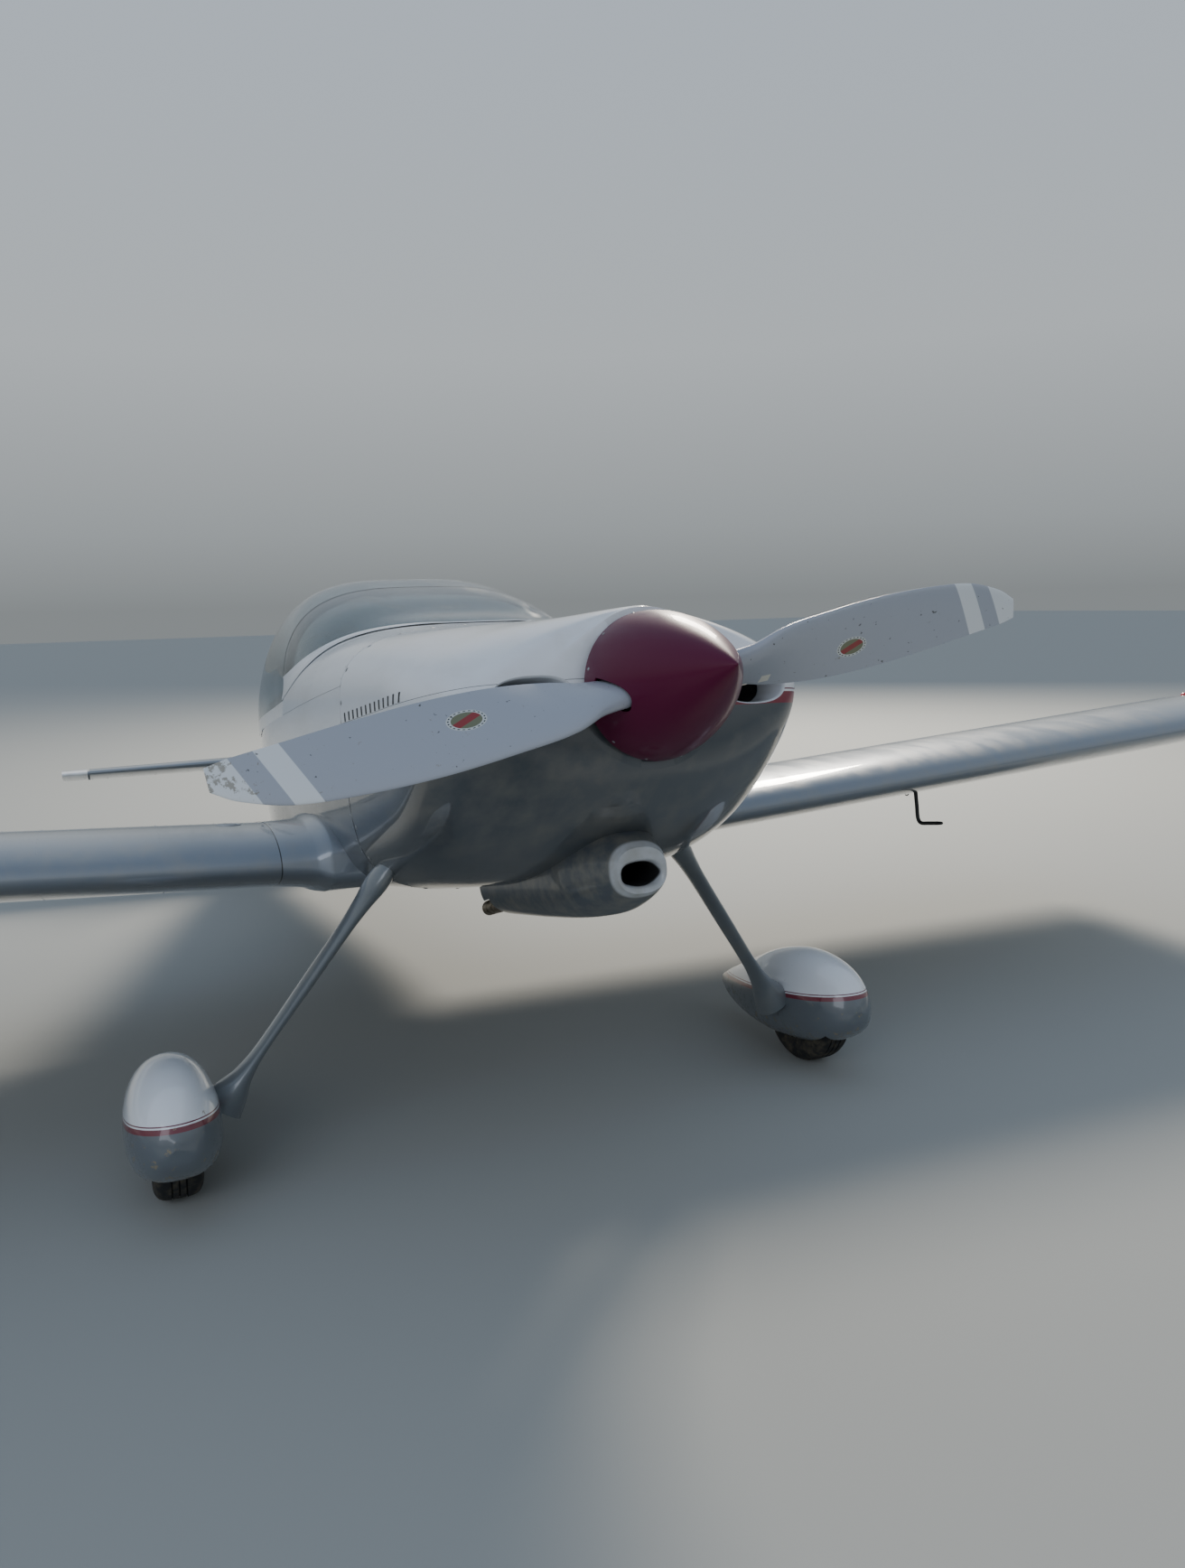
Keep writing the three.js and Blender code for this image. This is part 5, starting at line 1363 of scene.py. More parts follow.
for side, word in SIDES:
    for name, inner, outer, chord, low in CONTROLS:
        pivot, radius = hinge_of(chord, low)
        spots = []
        for share in ((0.12, 0.88) if low else (0.2, 0.8)):
            x = inner + (outer - inner) * share
            point = [side * x, pivot[0], wing_z(x) + pivot[1]]
            foot = [side * x, pivot[0] - radius - 18, point[2] + (4 if low else 0)]
            spots.append((point, foot, [side, 0, SLOPE]))
        hang(f"{name}_skin_{word}", f"{name}_{word}", "silver_paint", spots)
    y, z = TAIL["hinge"], TAIL["z"]
    spots = [([side * x, y, z], [side * x, y - 60, z], [1, 0, 0]) for x in (520, 1080)]
    hang(f"elevator_skin_{word}", "elevator", "silver_paint", spots)
spots = [([0, POST_Y, z], [0, POST_Y - reach, z], [0, 0, 1]) for z, reach in ((300, 55), (690, 55), (10, 70))]
hang("rudder_skin", "rudder", "white_paint", spots)
solid("hinge_plates", plates, silver_enamel, slot="silver_paint",
      replaces=["wing_left", "wing_right", "tailplane", "fin"])
print("hinge plates:", len(plates))

# %% [markdown]
# The cabin shows through the hood and when it is slid open. A ledge along each side carries the rail
# that the hood runs on. The rails are steel tubes on short feet, inside the hood's skirts.

# %% Ledges and rails
def dress(name, finish):
    """A CAD node that stays in view gets a finish in each of its slots."""
    for slot in frame["nodes"][name].material_slots:
        slot.material = finish


stations = np.linspace(FIREWALL + 7, CABIN_END, 40)
ledge = []
for z, inset in [(RAIL_Z - 0.2, 21.5), (RAIL_Z - 0.2, 80), (RAIL_Z - 20, 80), (RAIL_Z - 20, 21.5)]:
    height = np.full(40, z)
    ledge.append(np.stack([half_at(stations, height, grow=-inset), stations, height], -1))
solid("cabin_ledges", both_sides([tube(np.stack(ledge, 1))]), cockpit_grey, slot="grey_paint",
      replaces=["cabin_tub"])
rails = []
for x in (-465, 465):
    rails.append(swept([[x, 652, 143], [x, 1060, 143], [x, 1475, 143]], 8, 20))
    rails += [block((x - 12, x + 12), (y - 5, y + 10), (RAIL_Z - 5, 155)) for y in (652, 1465)]
solid("canopy_rails", rails, steel, slot="grey_paint", replaces=["cabin_tub"])
dress("instrument_panel", cockpit_grey)
print("ledge rings:", len(stations))

# %% [markdown]
# The panel has round dials in two rows, a stack of boxes in the middle and the engine's push rods
# below. The dials stand on an even grid, so one finish can draw all their faces: it takes each place
# by what is left over after whole steps of the grid.

# %% Instrument panel and sticks
PANEL_Y, GRID, LOW_ROW = 568, 92, 152
DIALS = [(x, z) for x in (138, 230, 322, -230, -322) for z in (LOW_ROW, LOW_ROW + GRID)]
print("dials:", len(DIALS))


def dial_faces():
    """Black faces with pale ticks and a needle; the same picture round every point of the grid."""
    face = Finish("instrument_face", "#101112", 0.25, coat=1.0)
    pitch, half = GRID / 1000, GRID / 2000
    across, up = face.x / pitch, (face.z - (LOW_ROW / 1000 - half)) / pitch
    x, z = [(value - maths("FLOOR", value)) * pitch - half for value in (across, up)]
    radius = maths("SQRT", x * x + z * z)
    ticks = maths("SINE", maths("ARCTAN2", z, x) * 12.0).near(1.0, 0.35) * radius.near(0.030, 0.003)
    # Each cell's own number sets how its needle leans
    lean = (maths("FLOOR", across) + maths("FLOOR", up)) * 1.7 + 0.6
    off = x * maths("SINE", lean) - z * maths("COSINE", lean)
    needle = off.near(0.0, 0.0011) * maths("LESS_THAN", radius, 0.025)
    return face.done(maths("MAXIMUM", ticks, needle).blend("#101112", "#d8dad6"))


def knob(x, z, length, radius, head):
    """A round push rod with its knob, laid forward from the panel's aft face."""
    end = length + head
    profile = [[0.1, -end - 2], [radius, -end], [radius, -length - 2], [3, -length], [3, 0], [0.1, 0]]
    return spun(profile, [x, PANEL_Y, z], 16, "y")


disc = np.stack([37 * np.cos(circle(20)), 0 * circle(20), 37 * np.sin(circle(20))], -1)
faces = [capped(np.stack([disc + [x, y, z] for y in (PANEL_Y - 1, PANEL_Y + 1.6)])) for x, z in DIALS]
solid("dial_faces", faces, dial_faces(), slot="black_trim")
bezel = [[36.5, 0], [42, 0], [42, 3], [39, 6], [36.5, 4]]
solid("dial_bezels", [spun(bezel, [x, PANEL_Y, z], 24, "y") for x, z in DIALS], trim, slot="black_trim")
RACK = (106, 154, 202, 250)
boxes = [block((-82, 82), (PANEL_Y - 1, PANEL_Y + 5), (low, low + 42)) for low in RACK]
switches = [block((x - 4, x + 4), (PANEL_Y - 1, PANEL_Y + 16), (52, 66)) for x in range(90, 360, 27)]
solid("panel_boxes_and_switches", [*boxes, *switches], trim, slot="black_trim")
windows = [block((-60, 40), (PANEL_Y + 4.5, PANEL_Y + 6), (low + 10, low + 32)) for low in RACK]
# Smoked plastic window over an unlit display
smoked = worn("smoked_display_window", "#141b1e", "#2a3033", 0.12, grain_mm=60, most=0.3, coat=1.0)
solid("panel_windows", windows, smoked, slot="black_trim")
solid("engine_push_rods", [knob(x, 20, 46, 13, 14) for x in (-60, 0, 60)], trim, slot="black_trim")

share = np.linspace(0, 1, 17)
bulge = 13.5 + 3.2 * np.sin(share * np.pi) ** 0.6 + 1.3 * np.cos(share * np.pi * 8)
for side, word in SIDES:
    ways = {"slot": "black_trim", "replaces": [f"control_stick_{word}"]}
    x = side * 250
    stick = [[x, 788, -440], [x, 780, -290], [x, 774.5, -178]]
    solid(f"stick_tube_{word}", [swept(stick, 10, 20)], trim, **ways)
    grip = [x, 775, -180] + share[:, None] * [0, -5, 90]
    solid(f"stick_grip_{word}", [swept(grip, bulge, 20)], rubber, **ways)

# %% [markdown]
# A seat is two foam pads in sewn covers on a metal pan. Foam under a tight cover behaves as a closed bag
# with a little air in it, so each pad is a slimmer block puffed up by cloth with pressure inside. What
# is sewn comes afterwards: the channels are pressed in along lines, and the piping lies on the skin.

# %% Padded seats
def swell(piece, cap, pressure=4.0, frames=20):
    """Cloth with air pressure and no gravity; a point keeps at most cap metres of the way it moved."""
    change = piece.modifiers.new("even", "REMESH")
    change.mode = "VOXEL"
    change.voxel_size = 0.006
    graph = bpy.context.evaluated_depsgraph_get()
    piece.data = bpy.data.meshes.new_from_object(piece.evaluated_get(graph))
    piece.modifiers.clear()
    start = points_of(piece.data)
    cloth = piece.modifiers.new("cloth", "CLOTH")
    cloth.settings.use_pressure = True
    cloth.settings.uniform_pressure_force = pressure
    cloth.settings.effector_weights.gravity = 0
    for number in range(1, frames + 1):
        bpy.context.scene.frame_set(number)
    moved = points_of(piece.evaluated_get(bpy.context.evaluated_depsgraph_get()).data) - start
    piece.modifiers.clear()
    far = np.linalg.norm(moved, axis=1, keepdims=True)
    shift = moved * np.minimum(1, cap / np.maximum(far, 1e-9))
    piece.data.vertices.foreach_set("co", (start + shift).ravel())
    bpy.context.scene.frame_set(1)
    print(f"{piece.name}: cloth moved points up to {1000 * far.max():.0f} mm, kept {1000 * cap:.0f}")


def points_of(mesh, what="co"):
    """A mesh's points, or their normals, as rows of x, y and z."""
    flat = np.empty(3 * len(mesh.vertices))
    mesh.vertices.foreach_get(what, flat)
    return flat.reshape(-1, 3)


def level_of(points):
    """The frame's metres back to level millimetres."""
    x, y, z = np.moveaxis((points - SHIFT) * 1000, -1, 0)
    c, s = math.cos(DECK), math.sin(DECK)
    return np.stack([x, c * y - s * z, s * y + c * z], -1)


SEAT_X = 228


def pad(name, outline, half=168, cap=0.016):
    """One port pad from its side outline (y, z): puffed up, then channels pressed in at offsets across."""
    middle = np.mean(outline, 0)
    slices = []
    for at, size in [(-half, 0.86), (-half + 14, 1), (half - 14, 1), (half, 0.86)]:
        slices.append(np.insert(middle + (np.array(outline) - middle) * size, 0, SEAT_X + at, axis=1))
    piece = closed_object(name, capped(np.array(slices)))
    swell(piece, cap)
    level = level_of(points_of(piece.data))
    depth = sum(5.0 * np.exp(-((level[:, 0] - SEAT_X - at) / 7) ** 2) for at in CHANNELS)
    points = place(level) - points_of(piece.data, "normal") * depth[:, None] / 1000
    piece.data.vertices.foreach_set("co", points.ravel())
    piece.data.shade_smooth()
    return piece


def woven_cloth():
    """Woven seat cloth over foam: matt grey with a fine twill."""
    cloth = Finish("seat_cloth_twill", "#54575d", 0.9)
    thread = 2 * math.pi / 0.0022
    twill = maths("SINE", (cloth.x + cloth.z) * thread) * maths("SINE", (cloth.y - cloth.z) * thread)
    cloth.shader.inputs["Sheen Weight"].default_value = 0.3
    shade = cloth.noise(70, 5).ramp(0.35, 0.7).blend("#4d5056", "#6b6c6e")
    return cloth.done(shade, None, (twill, 0.35, 0.0004))


seat_cloth = woven_cloth()
CUSHION = [(872, -345), (1205, -345), (1215, -288), (1040, -276), (900, -268), (872, -290)]
BACK = [(1240, -275), (1312, -290), (1420, 190), (1412, 214), (1372, 216), (1358, 196)]
CHANNELS = [-120, -60, 0, 60, 120]
pads = {"cushion": pad("seat_cushion_left", CUSHION), "back": pad("seat_back_left", BACK)}
for word, piece in pads.items():
    twin = object_from(f"seat_{word}_right", points_of(piece.data) * MIRROR,
                       [tuple(face.vertices)[::-1] for face in piece.data.polygons])
    twin.data.shade_smooth()
    for pad_piece, side in ((piece, "left"), (twin, "right")):
        pad_piece.data.materials.append(seat_cloth)
        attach(pad_piece, "airframe")
        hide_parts(f"seat_{side}")

# %% [markdown]
# Each pad's cover closes with a piped edge, a cord sewn into the seam. The belts are flat webbing that
# lies on the pads, so their paths are dropped onto the finished surface and lifted by half a thickness.

# %% Pans, piping and belts
def laid(piece, level_points, direction, lift=1.6):
    """Points dropped along a level direction onto a piece's surface and lifted off it again, level."""
    towards = turn([direction])[0] * 1000
    hits = []
    for point in place(level_points):
        found, spot, normal, _ = piece.ray_cast(Vector(point - towards * 0.4), Vector(towards))
        if found:
            hits.append(np.array(spot) + np.array(normal) * lift / 1000)
    return level_of(np.array(hits))


def webbing(line, way, wide=23, thick=1.3):
    """A flat strap along a line: its width lies along one direction, its thickness square to both."""
    up = np.cross(np.gradient(line, axis=0), way)
    up /= np.linalg.norm(up, axis=1)[:, None]
    across = np.array(way, float) * wide
    return sheet(*[np.stack([line - across + up * s, line + across + up * s], 1) for s in (thick, -thick)])


def row_of(x, y, z, count=32):
    """Points in a row; each of x, y and z is one value or the two ends."""
    return np.stack([np.linspace(*np.broadcast_to(value, 2), count) for value in (x, y, z)], -1)


back, cushion = pads["back"], pads["cushion"]
DOWN, WIDTH = [0, 0, -1], (78, 378)
lap = laid(cushion, row_of(WIDTH, 1150, -200), DOWN, 2.2)
straps = [webbing(laid(back, row_of(x, 1250, (188, -225)), [0, 1, 0], 2.2), [1, 0, 0]) for x in (158, 298)]
straps.append(webbing(lap, [0, 1, 0]))
piping = [swept(laid(piece, row_of(WIDTH, y, z), DOWN, 0.5), 3, 8)
          for piece, y, z in ((cushion, 892, -200), (back, 1388, 300))]
# Nylon webbing: a close ribbed weave, faded
webbing_cloth = worn("nylon_webbing", "#23262b", "#4a4b4c", 0.8, grain_mm=50, most=0.4,
                     bump=(1.2, 0.4, 0.0003))
solid("seat_belts", both_sides(straps), webbing_cloth, slot="black_trim")
solid("seat_piping", both_sides(piping), trim, slot="black_trim")
middle = lap[len(lap) // 2]
buckle = block((middle[0] - 32, middle[0] + 32), (1123, 1177), (middle[2] - 1, middle[2] + 13))
solid("belt_buckles", both_sides([buckle]), steel, slot="black_trim")

pan_end = np.array([[60, -434], [300, -427], [378, -403], [394, -352], [60, -352]], float)
pan = tube(np.stack([np.insert(pan_end, 1, y, axis=1) for y in (868, 1262)]))
slab = np.array([[1316, -330], [1330, -310], [1438, 222], [1431, 222], [1322, -310]], float)
back_pan = capped(np.stack([np.insert(slab, 0, x, axis=1) for x in (58, 398)]))
solid("seat_pans", both_sides([pan, back_pan]), cockpit_grey, slot="seat_cloth",
      replaces=["seat_left", "seat_right"])
print("belt points:", len(lap))

# %% [markdown]
# Bare and plated metal is left where paint would burn or wear off: the exhaust stubs, the tail spring
# and its fork. A pipe is a tube along a smooth line with a smaller tube for its bore. Heat turns the
# steel straw, then brown and blue towards the engine, which the colour follows along the pipe.

# %% Exhaust, pitot tube, firewall and engine
def smooth_line(points, count=40):
    """A smooth curve through a few points, by their distance along the line between them."""
    run = run_of(points)
    return between(np.column_stack([run, points]), np.linspace(0, run[-1], count))[:, 1:]


def grid_of(part, columns):
    """The rings of a swept tube, without the hubs of its ends."""
    return part[0][:-2].reshape(-1, columns, 3)


def tinted_steel():
    """Exhaust steel: brown and blue near the engine, straw further back, sooty in patches."""
    steel_pipe = Finish("exhaust_steel_heat_tinted", "#8f8678", 0.38, 1.0)
    soot = steel_pipe.noise(22, 7)
    tint = (soot * 0.12 + steel_pipe.y).ramp(-0.35, -0.1).blend("#5b4a5e", "#9a8d78")
    colour = soot.ramp(0.5, 0.7, 0, 0.85).blend(tint, "#3c332c")
    return steel_pipe.done(colour, soot.ramp(0.4, 0.7, 0.32, 0.7))


exhaust_steel = tinted_steel()
EXHAUST = [[170, -520, -185], [168, -518, -300], [100, -420, -440], [88, -300, -488], [88, -60, -530]]
for side, word in SIDES:
    line = smooth_line(np.array(EXHAUST) * [side, 1, 1], 60)
    pipe = sleeve(grid_of(swept(line, 22, 32), 32), grid_of(swept(line, 19, 32), 32))
    solid(f"exhaust_stub_{word}", [pipe], exhaust_steel, slot="steel", replaces=[f"exhaust_pipe_{word}"])

PITOT_X, PITOT_Y = 1663, 153
steps = [(0, 30), (0, -50), (0, -97), (-13, -113), (-53, -115), (-129, -115)]
bend = [[PITOT_X, PITOT_Y + aft, under_wing(PITOT_X, PITOT_Y) + up] for aft, up in steps]
# Black anodised tube, polished where hands have wiped it
anodised = worn("anodised_tube_black", "#17181a", "#4a4843", 0.4, 0.3, grain_mm=30, most=0.4)
mast = swept(smooth_line(bend, 50), np.interp(np.arange(50), [0, 44, 47, 49], [7, 7, 6.4, 5.2]), 24)
solid("pitot_mast", [mast], anodised, slot="steel", replaces=["pitot_tube"])

# Stainless sheet of the firewall: brushed, with oil mist and heat stains
firewall_sheet = worn("stainless_sheet_brushed", "#a5a6a4", "#7c705c", 0.34, 1.0, grain_mm=80, most=0.6)
dress("firewall", firewall_sheet)
# Cast aluminium crankcase: sand-cast grain, oily dirt
cast_case = worn("sand_cast_aluminium", "#8d8f90", "#4f4a41", 0.5, 0.8, grain_mm=35, most=0.7,
                 bump=(2.5, 0.4, 0.0006))
dress("engine_block", cast_case)

# %% [markdown]
# The tailwheel hangs on a tapered steel rod that bends as a spring. At its end a housing holds the
# fork's pin square to the ground, so its parts are set out from the ground's own directions.

# %% Tail spring and fork
def near_tailwheel(x, aft, up):
    """A point by its distance across, aft and up from the tailwheel's hub, square to the ground."""
    c, s = math.cos(DECK), math.sin(DECK)
    return TAIL_HUB + np.array([x, c * aft - s * up, s * aft + c * up])


TRAIL = -58
rod_end = near_tailwheel(0, TRAIL - 12, 128)
rod_line = smooth_line([[0, 4120, -43], [0, 4200, -76], [0, 4340, -138], rod_end], 50)
rod_radius = np.interp(np.arange(50), [0, 18, 36, 49], [17, 16, 14, 12])[:, None]
a = circle(40)
leaf = np.stack([rod_radius * 1.4 * np.cos(a), rod_radius * 0.4 * np.sin(a), rod_radius * np.sin(a)], -1)
housing = swept([near_tailwheel(0, TRAIL, up) for up in (104, 127, 150)], 20, 40)
cap = swept([near_tailwheel(0, TRAIL, up) for up in (149, 153, 157)], [13, 12, 7], 32)
# Spring steel under thin grey enamel, chipped and rusty in spots
spring_steel = worn("spring_steel_enamel_chipped", "#6d7175", "#6a4a35", 0.45, 0.4, grain_mm=18, most=0.5)
solid("tail_spring_rod", [tube(rod_line[:, None] + leaf), housing, cap], spring_steel, slot="steel",
      replaces=["tail_spring"])


def slab_of(outline, x0, x1):
    """A plate with an outline of (aft, up) from the hub, between two offsets across."""
    return capped(np.array([[near_tailwheel(x, aft, up) for aft, up in outline] for x in (x0, x1)]))


foot_end = [(14 * math.cos(t), 14 * math.sin(t) + 2) for t in np.linspace(np.pi, 2 * np.pi, 9)]
ARM = [(TRAIL + 18, 99), (TRAIL - 18, 99), *foot_end]
arms = [slab_of(ARM, x - 3, x + 3) for x in (-35, 35)]
bridge = slab_of([(TRAIL - 18, 88), (TRAIL + 18, 88), (TRAIL + 18, 98), (TRAIL - 18, 98)], -38, 38)
crown = swept([near_tailwheel(0, TRAIL, up) for up in (86, 95, 103.4)], 22, 40)
horn_rod = swept([near_tailwheel(x, TRAIL, 93) for x in (-75, 0, 75)], 5, 16)
axle = swept([near_tailwheel(x, 0, 0) for x in (-40, 0, 40)], 6, 20)
nuts = [swept([near_tailwheel(x + at, 0, 0) for at in (-4, 0, 4)], 10.5, 6) for x in (-42, 42)]
fork = [*arms, bridge, crown, horn_rod, axle, *nuts]
solid("tailwheel_fork_plates", fork, spring_steel, "tailwheel_steering", "steel", ["tailwheel_fork"])
hub_disc = np.array([[6.6, -20], [44, -20], [44, -23], [9, -27.5], [6.6, -27.5]])
hubs = [spun(hub_disc * [1, side], TAIL_HUB, 48) for side, _ in SIDES]
solid("tailwheel_hub", hubs, alloy, "tailwheel", "tyre_rubber")
print("fork arms from", ARM[0], "to the axle")

# %% [markdown]
# Sheet metal is held by rivets about every 35 mm, in rows along the ribs, spars and frames. Each is a
# low six-sided dome, so thousands of them stay light. Their places come from the same tables as the
# skins, and each dome is set square to the surface by the directions to its neighbours.

# %% Rivets
# Distance between two rivets, mm
PITCH = 34


def square_axes(normals):
    """Two unit vectors square to each normal."""
    normals = normals / np.linalg.norm(normals, axis=1, keepdims=True)
    helper = np.where(np.abs(normals[:, :1]) < 0.8, [[1.0, 0, 0]], [[0, 1.0, 0]])
    first = np.cross(normals, helper)
    first /= np.linalg.norm(first, axis=1, keepdims=True)
    return first, np.cross(normals, first), normals


def studs(spots, normals, radius=2.6, height=0.45, sides=6, sunk=0.5):
    """Low domes in one body: at each place a ring below the skin and a smaller one above, with caps."""
    first, second, normals = square_axes(np.asarray(normals, float))
    angles = circle(sides)[:, None]
    flat = first[:, None] * np.cos(angles) + second[:, None] * np.sin(angles)
    spots = np.asarray(spots, float)[:, None]
    low = spots + flat * radius - normals[:, None] * sunk
    high = spots + flat * radius * 0.62 + normals[:, None] * height
    points = np.concatenate([low, high], 1).reshape(-1, 3)
    base = (np.arange(len(spots)) * 2 * sides)[:, None]
    k = np.arange(sides)
    n = (k + 1) % sides
    walls = np.stack([k, n, n + sides, k + sides], -1)[None] + base[:, :, None]
    caps = [base + k[::-1], base + k + sides]
    return points, [walls.reshape(-1, 4), *caps]


def on_wing(side, x, y, upper):
    """Places on the wing's skin and the directions out of it."""
    x, y = np.broadcast_arrays(np.asarray(x, float), np.asarray(y, float))
    line = (wing_upper if upper else wing_lower).T
    sign = 1 if upper else -1
    rise = (np.interp(y + 3, *line) - np.interp(y - 3, *line)) / 6
    spots = np.stack([side * x, y, np.interp(y, *line) + wing_z(x)], -1)
    return spots, sign * np.stack([-side * SLOPE + 0 * x, -rise, 1 + 0 * x], -1)


def on_rings(y, angles, table=HULL):
    """Places on the fuselage by station and angle, and the directions out of it."""
    y, angles = np.broadcast_arrays(np.asarray(y, float), np.asarray(angles, float))
    spots = rings(between(table, y), angles[:, None])[:, 0]
    around = rings(between(table, y), angles[:, None] + 0.004)[:, 0] - spots
    along = rings(between(table, y + 2), angles[:, None])[:, 0] - spots
    return spots, -np.cross(around, along)


def ring_row(y, start, end, pitch=PITCH, table=HULL):
    """A row round one frame from angle to angle, with even steps along the skin."""
    share = np.linspace(start, end, 1201)
    line = rings(between(table, [y]), share)[0]
    run = run_of(line)
    steps = np.linspace(0, run[-1], max(int(run[-1] / pitch), 2))
    return on_rings(np.full(len(steps), float(y)), np.interp(steps, run, share), table)


def joined(rows):
    """All places, and all directions, of rows of (places, directions)."""
    return [np.concatenate(part) for part in zip(*rows)]


RIBS = [668, 960, 1265, 1570, 1875, 2180, 2485, 2790, 3095, 3388]
rows = []
for side, _ in SIDES:
    for upper in (True, False):
        rows += [on_wing(side, x, np.arange(60, 1135, 36), upper) for x in RIBS]
        rows += [on_wing(side, np.arange(690, 3385, PITCH), y, upper) for y in (430, 1128)]
rows += [ring_row(y, 0, 2 * np.pi) for y in (1512, 1780, 2060, 2340, 2640, 2940, 3240, 3540, 3840)]
rows += [on_rings(np.arange(1530, 4150, PITCH), angle) for angle in (0.02, np.pi - 0.02, -0.6, np.pi + 0.6)]
rows += [ring_row(y, 0, -np.pi) for y in (-198, 160, 560, 1050, 1488)]
rows += [on_rings(np.arange(-180, 1480, PITCH), angle) for angle in (-0.95, np.pi + 0.95)]
rows += [ring_row(-198, 0.3, np.pi - 0.3), ring_row(150, 0.3, 1.0), ring_row(150, np.pi - 1.0, np.pi - 0.3)]
y = np.arange(3700, 3975, PITCH)
for side, sign in ((1, 1), (1, -1), (-1, 1), (-1, -1)):
    for x in (300, 560, 820, 1080, 1160):
        height = np.interp(y, *tail_lines(x)[0].T)
        spots = np.stack([np.full(len(y), side * x), y, TAIL["z"] + sign * height], -1)
        rows.append((spots, np.tile([0, 0.05, sign], (len(y), 1))))
spots, normals = joined(rows)
# None under the fin's foot
wanted = ~((np.abs(spots[:, 0]) < 60) & (spots[:, 1] > 3450) & (spots[:, 2] > 60))
# Aluminium rivets under the same coat as the skin round them
rivet_paint = worn("painted_aluminium_rivets", "#9aa0a6", "#7d776a", 0.35, 0.3, grain_mm=120, most=0.5,
                   coat=0.6)
solid("skin_rivets", [studs(spots[wanted], normals[wanted])], rivet_paint, slot="silver_paint")
print("rivets:", int(wanted.sum()))

for side, word in SIDES:
    for name, inner, outer, chord, low in CONTROLS:
        x = np.arange(inner + 24, outer - 10, PITCH)
        lines = (WING["chord"] - chord + 34, WING["chord"] - 26)
        rows = [on_wing(side, x, y, upper) for y in lines for upper in (True, False)]
        solid(f"{name}_rivets_{word}", [studs(*joined(rows), 2.2, 0.4)], rivet_paint, f"{name}_{word}",
              "silver_paint")

# %% [markdown]
# The cowling comes off for every inspection. Its two halves are pinned by a hinge along the split, and it
# meets the firewall in a row of quarter-turn fasteners. Black plates along the split are painted shade in the
# gaps between the hinge's knuckles.

# %% Cowl fasteners, and painted shade at the hinge
fasteners = [ring_row(-228, 0.08, np.pi - 0.08, 82, COWL), ring_row(-228, -0.3, -np.pi + 0.3, 82, COWL)]
spots, normals = joined(fasteners)
# None across the mouth of the cowling's exit
keep = ~((np.abs(spots[:, 0]) < 175) & (spots[:, 2] < -300))
spots, normals = spots[keep], square_axes(normals[keep])[2]
discs = studs(spots, normals, 8, 0.9, 12)
slots = studs(spots + normals * 0.9, normals, 3.2, 0.5)
solid("cowl_fasteners", [discs, slots], steel, slot="white_paint")
# Black plates across the split line: painted shade in the gaps between the hinge's knuckles
shade_plates = []
for y in np.arange(-258, -742, -40):
    at = np.array([[y - 5, 27.0], [y + 5, 27.0], [y + 5, 50.0], [y - 5, 50.0]])
    wall = np.array([half_at(station, height, COWL)[0] for station, height in at])
    plate = np.stack([np.column_stack([wall + deep, at]) for deep in (-0.9, 0.9)])
    shade_plates.append(capped(plate))
shade_plates = both_sides(shade_plates)
solid("cowl_hinge_shade_plates", shade_plates, trim, slot="black_trim")
print("cowl fasteners:", len(spots), "notches:", len(shade_plates))

# %% [markdown]
# Small fittings finish the outside: fuel caps on the wing, lights at the tips and the tail, a compass on
# the coaming, rings to tie the aircraft down, and screws round the spinner. None shows a name.

# %% Caps, lights, rings and screws
def stack_up(spot, normal, profile, sides=32):
    """A turned button from (radius, height) rows, square to the skin at one place."""
    first, second, up = [part[0] for part in square_axes(np.array([normal], float))]
    a = circle(sides)[:, None]
    around = np.cos(a) * first + np.sin(a) * second
    return tube(np.array([spot + radius * around + height * up for radius, height in profile]))


CAP = [(36, -2), (36, 1.2), (34, 2.0), (31, 2.0), (30, 1.2), (24, 1.2), (23, 2.6), (12, 3.0)]
caps = [stack_up(*on_wing(side, 760, 300, True), CAP) for side, _ in SIDES]
solid("fuel_caps", caps, alloy, slot="silver_paint")

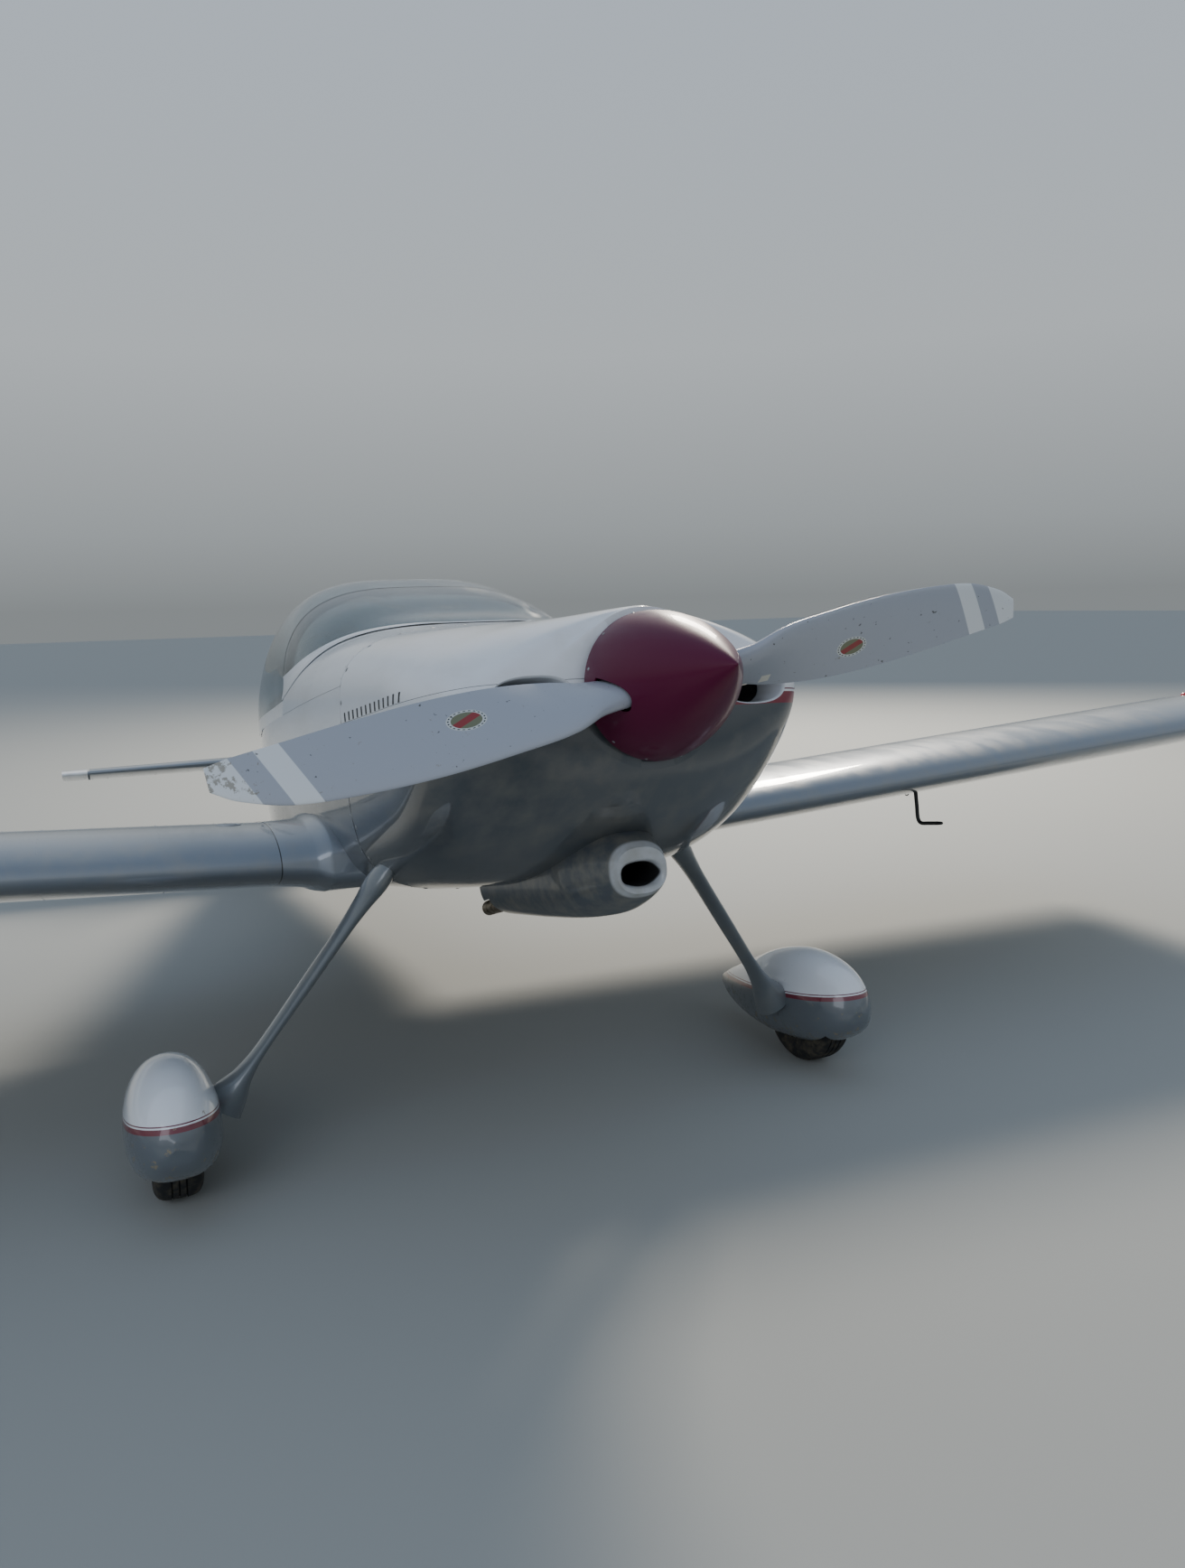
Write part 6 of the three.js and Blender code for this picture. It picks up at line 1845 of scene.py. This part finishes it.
DOME = [(20, -6), (20, 1), (19, 9), (16, 16), (11, 21), (5, 23.5)]
for word, side, code, dark in (("port", 1, "#b3181d", "#6c0f12"), ("starboard", -1, "#117a3c", "#0b4a26")):
    # Moulded plastic lens over a lamp, in the colour of its side
    lens = worn(f"moulded_lens_{word}", code, dark, 0.12, grain_mm=30, most=0.4, coat=1.0)
    section, _ = foil(WING["chord"], WING["thick"] * 0.86, WING["camber"])
    spot = [side * 3442, 420, wing_z(3442) + np.interp(420, *section.T)]
    solid(f"tip_light_{word}", [stack_up(spot, [0, 0, 1], DOME)], lens, slot="marking_red")
clear_lens = worn("moulded_lens_clear", "#cfd3d2", "#8d8a80", 0.1, grain_mm=30, most=0.4, coat=1.0)
tail_spot = [0, fin_edges(150)[2] - 10, 150]
tail_light = stack_up(tail_spot, [0, 1, 0], [(9, -8), (9, 2), (8, 6), (5, 10), (2, 11.5)], 20)
solid("tail_light", [tail_light], clear_lens, "rudder", "white_paint")

compass = [block((24, 72), (545, 590), (388, 424)), block((30, 66), (589, 592), (394, 418))]
solid("coaming_compass", compass, trim, slot="black_trim")
a = np.linspace(0, 2 * np.pi, 25)
x, y = TIE_DOWN
ring = np.stack([x + 0 * a, y + 13 * np.cos(a), under_wing(x, y) - 12 + 13 * np.sin(a)], -1)
loops = [swept(ring * [side, 1, 1], 2.6, 10) for side, _ in SIDES]
solid("tie_down_rings", loops, steel, slot="silver_paint")

# Twelve screws, 14 mm ahead of the spinner's back edge
a = circle(12) + math.radians(15)
radius = SPIN["radius"] * (1 - (14 / SPIN["length"]) ** SPIN["fullness"]) ** SPIN["taper"]
spots = np.stack([radius * np.cos(a), 0 * a + SPIN["back"] - 14, radius * np.sin(a)], -1)
solid("spinner_screws", [studs(spots, spots * [1, 0, 1], 4.2, 0.9, 8)], steel, "propeller_unit", "plum_paint")
print("fuel caps, lights, rings and screws set")

# %% Finish
size = {"cad": [list(corner) for corner in start_box], "visual": [list(corner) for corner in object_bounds()]}
print("size:", size)
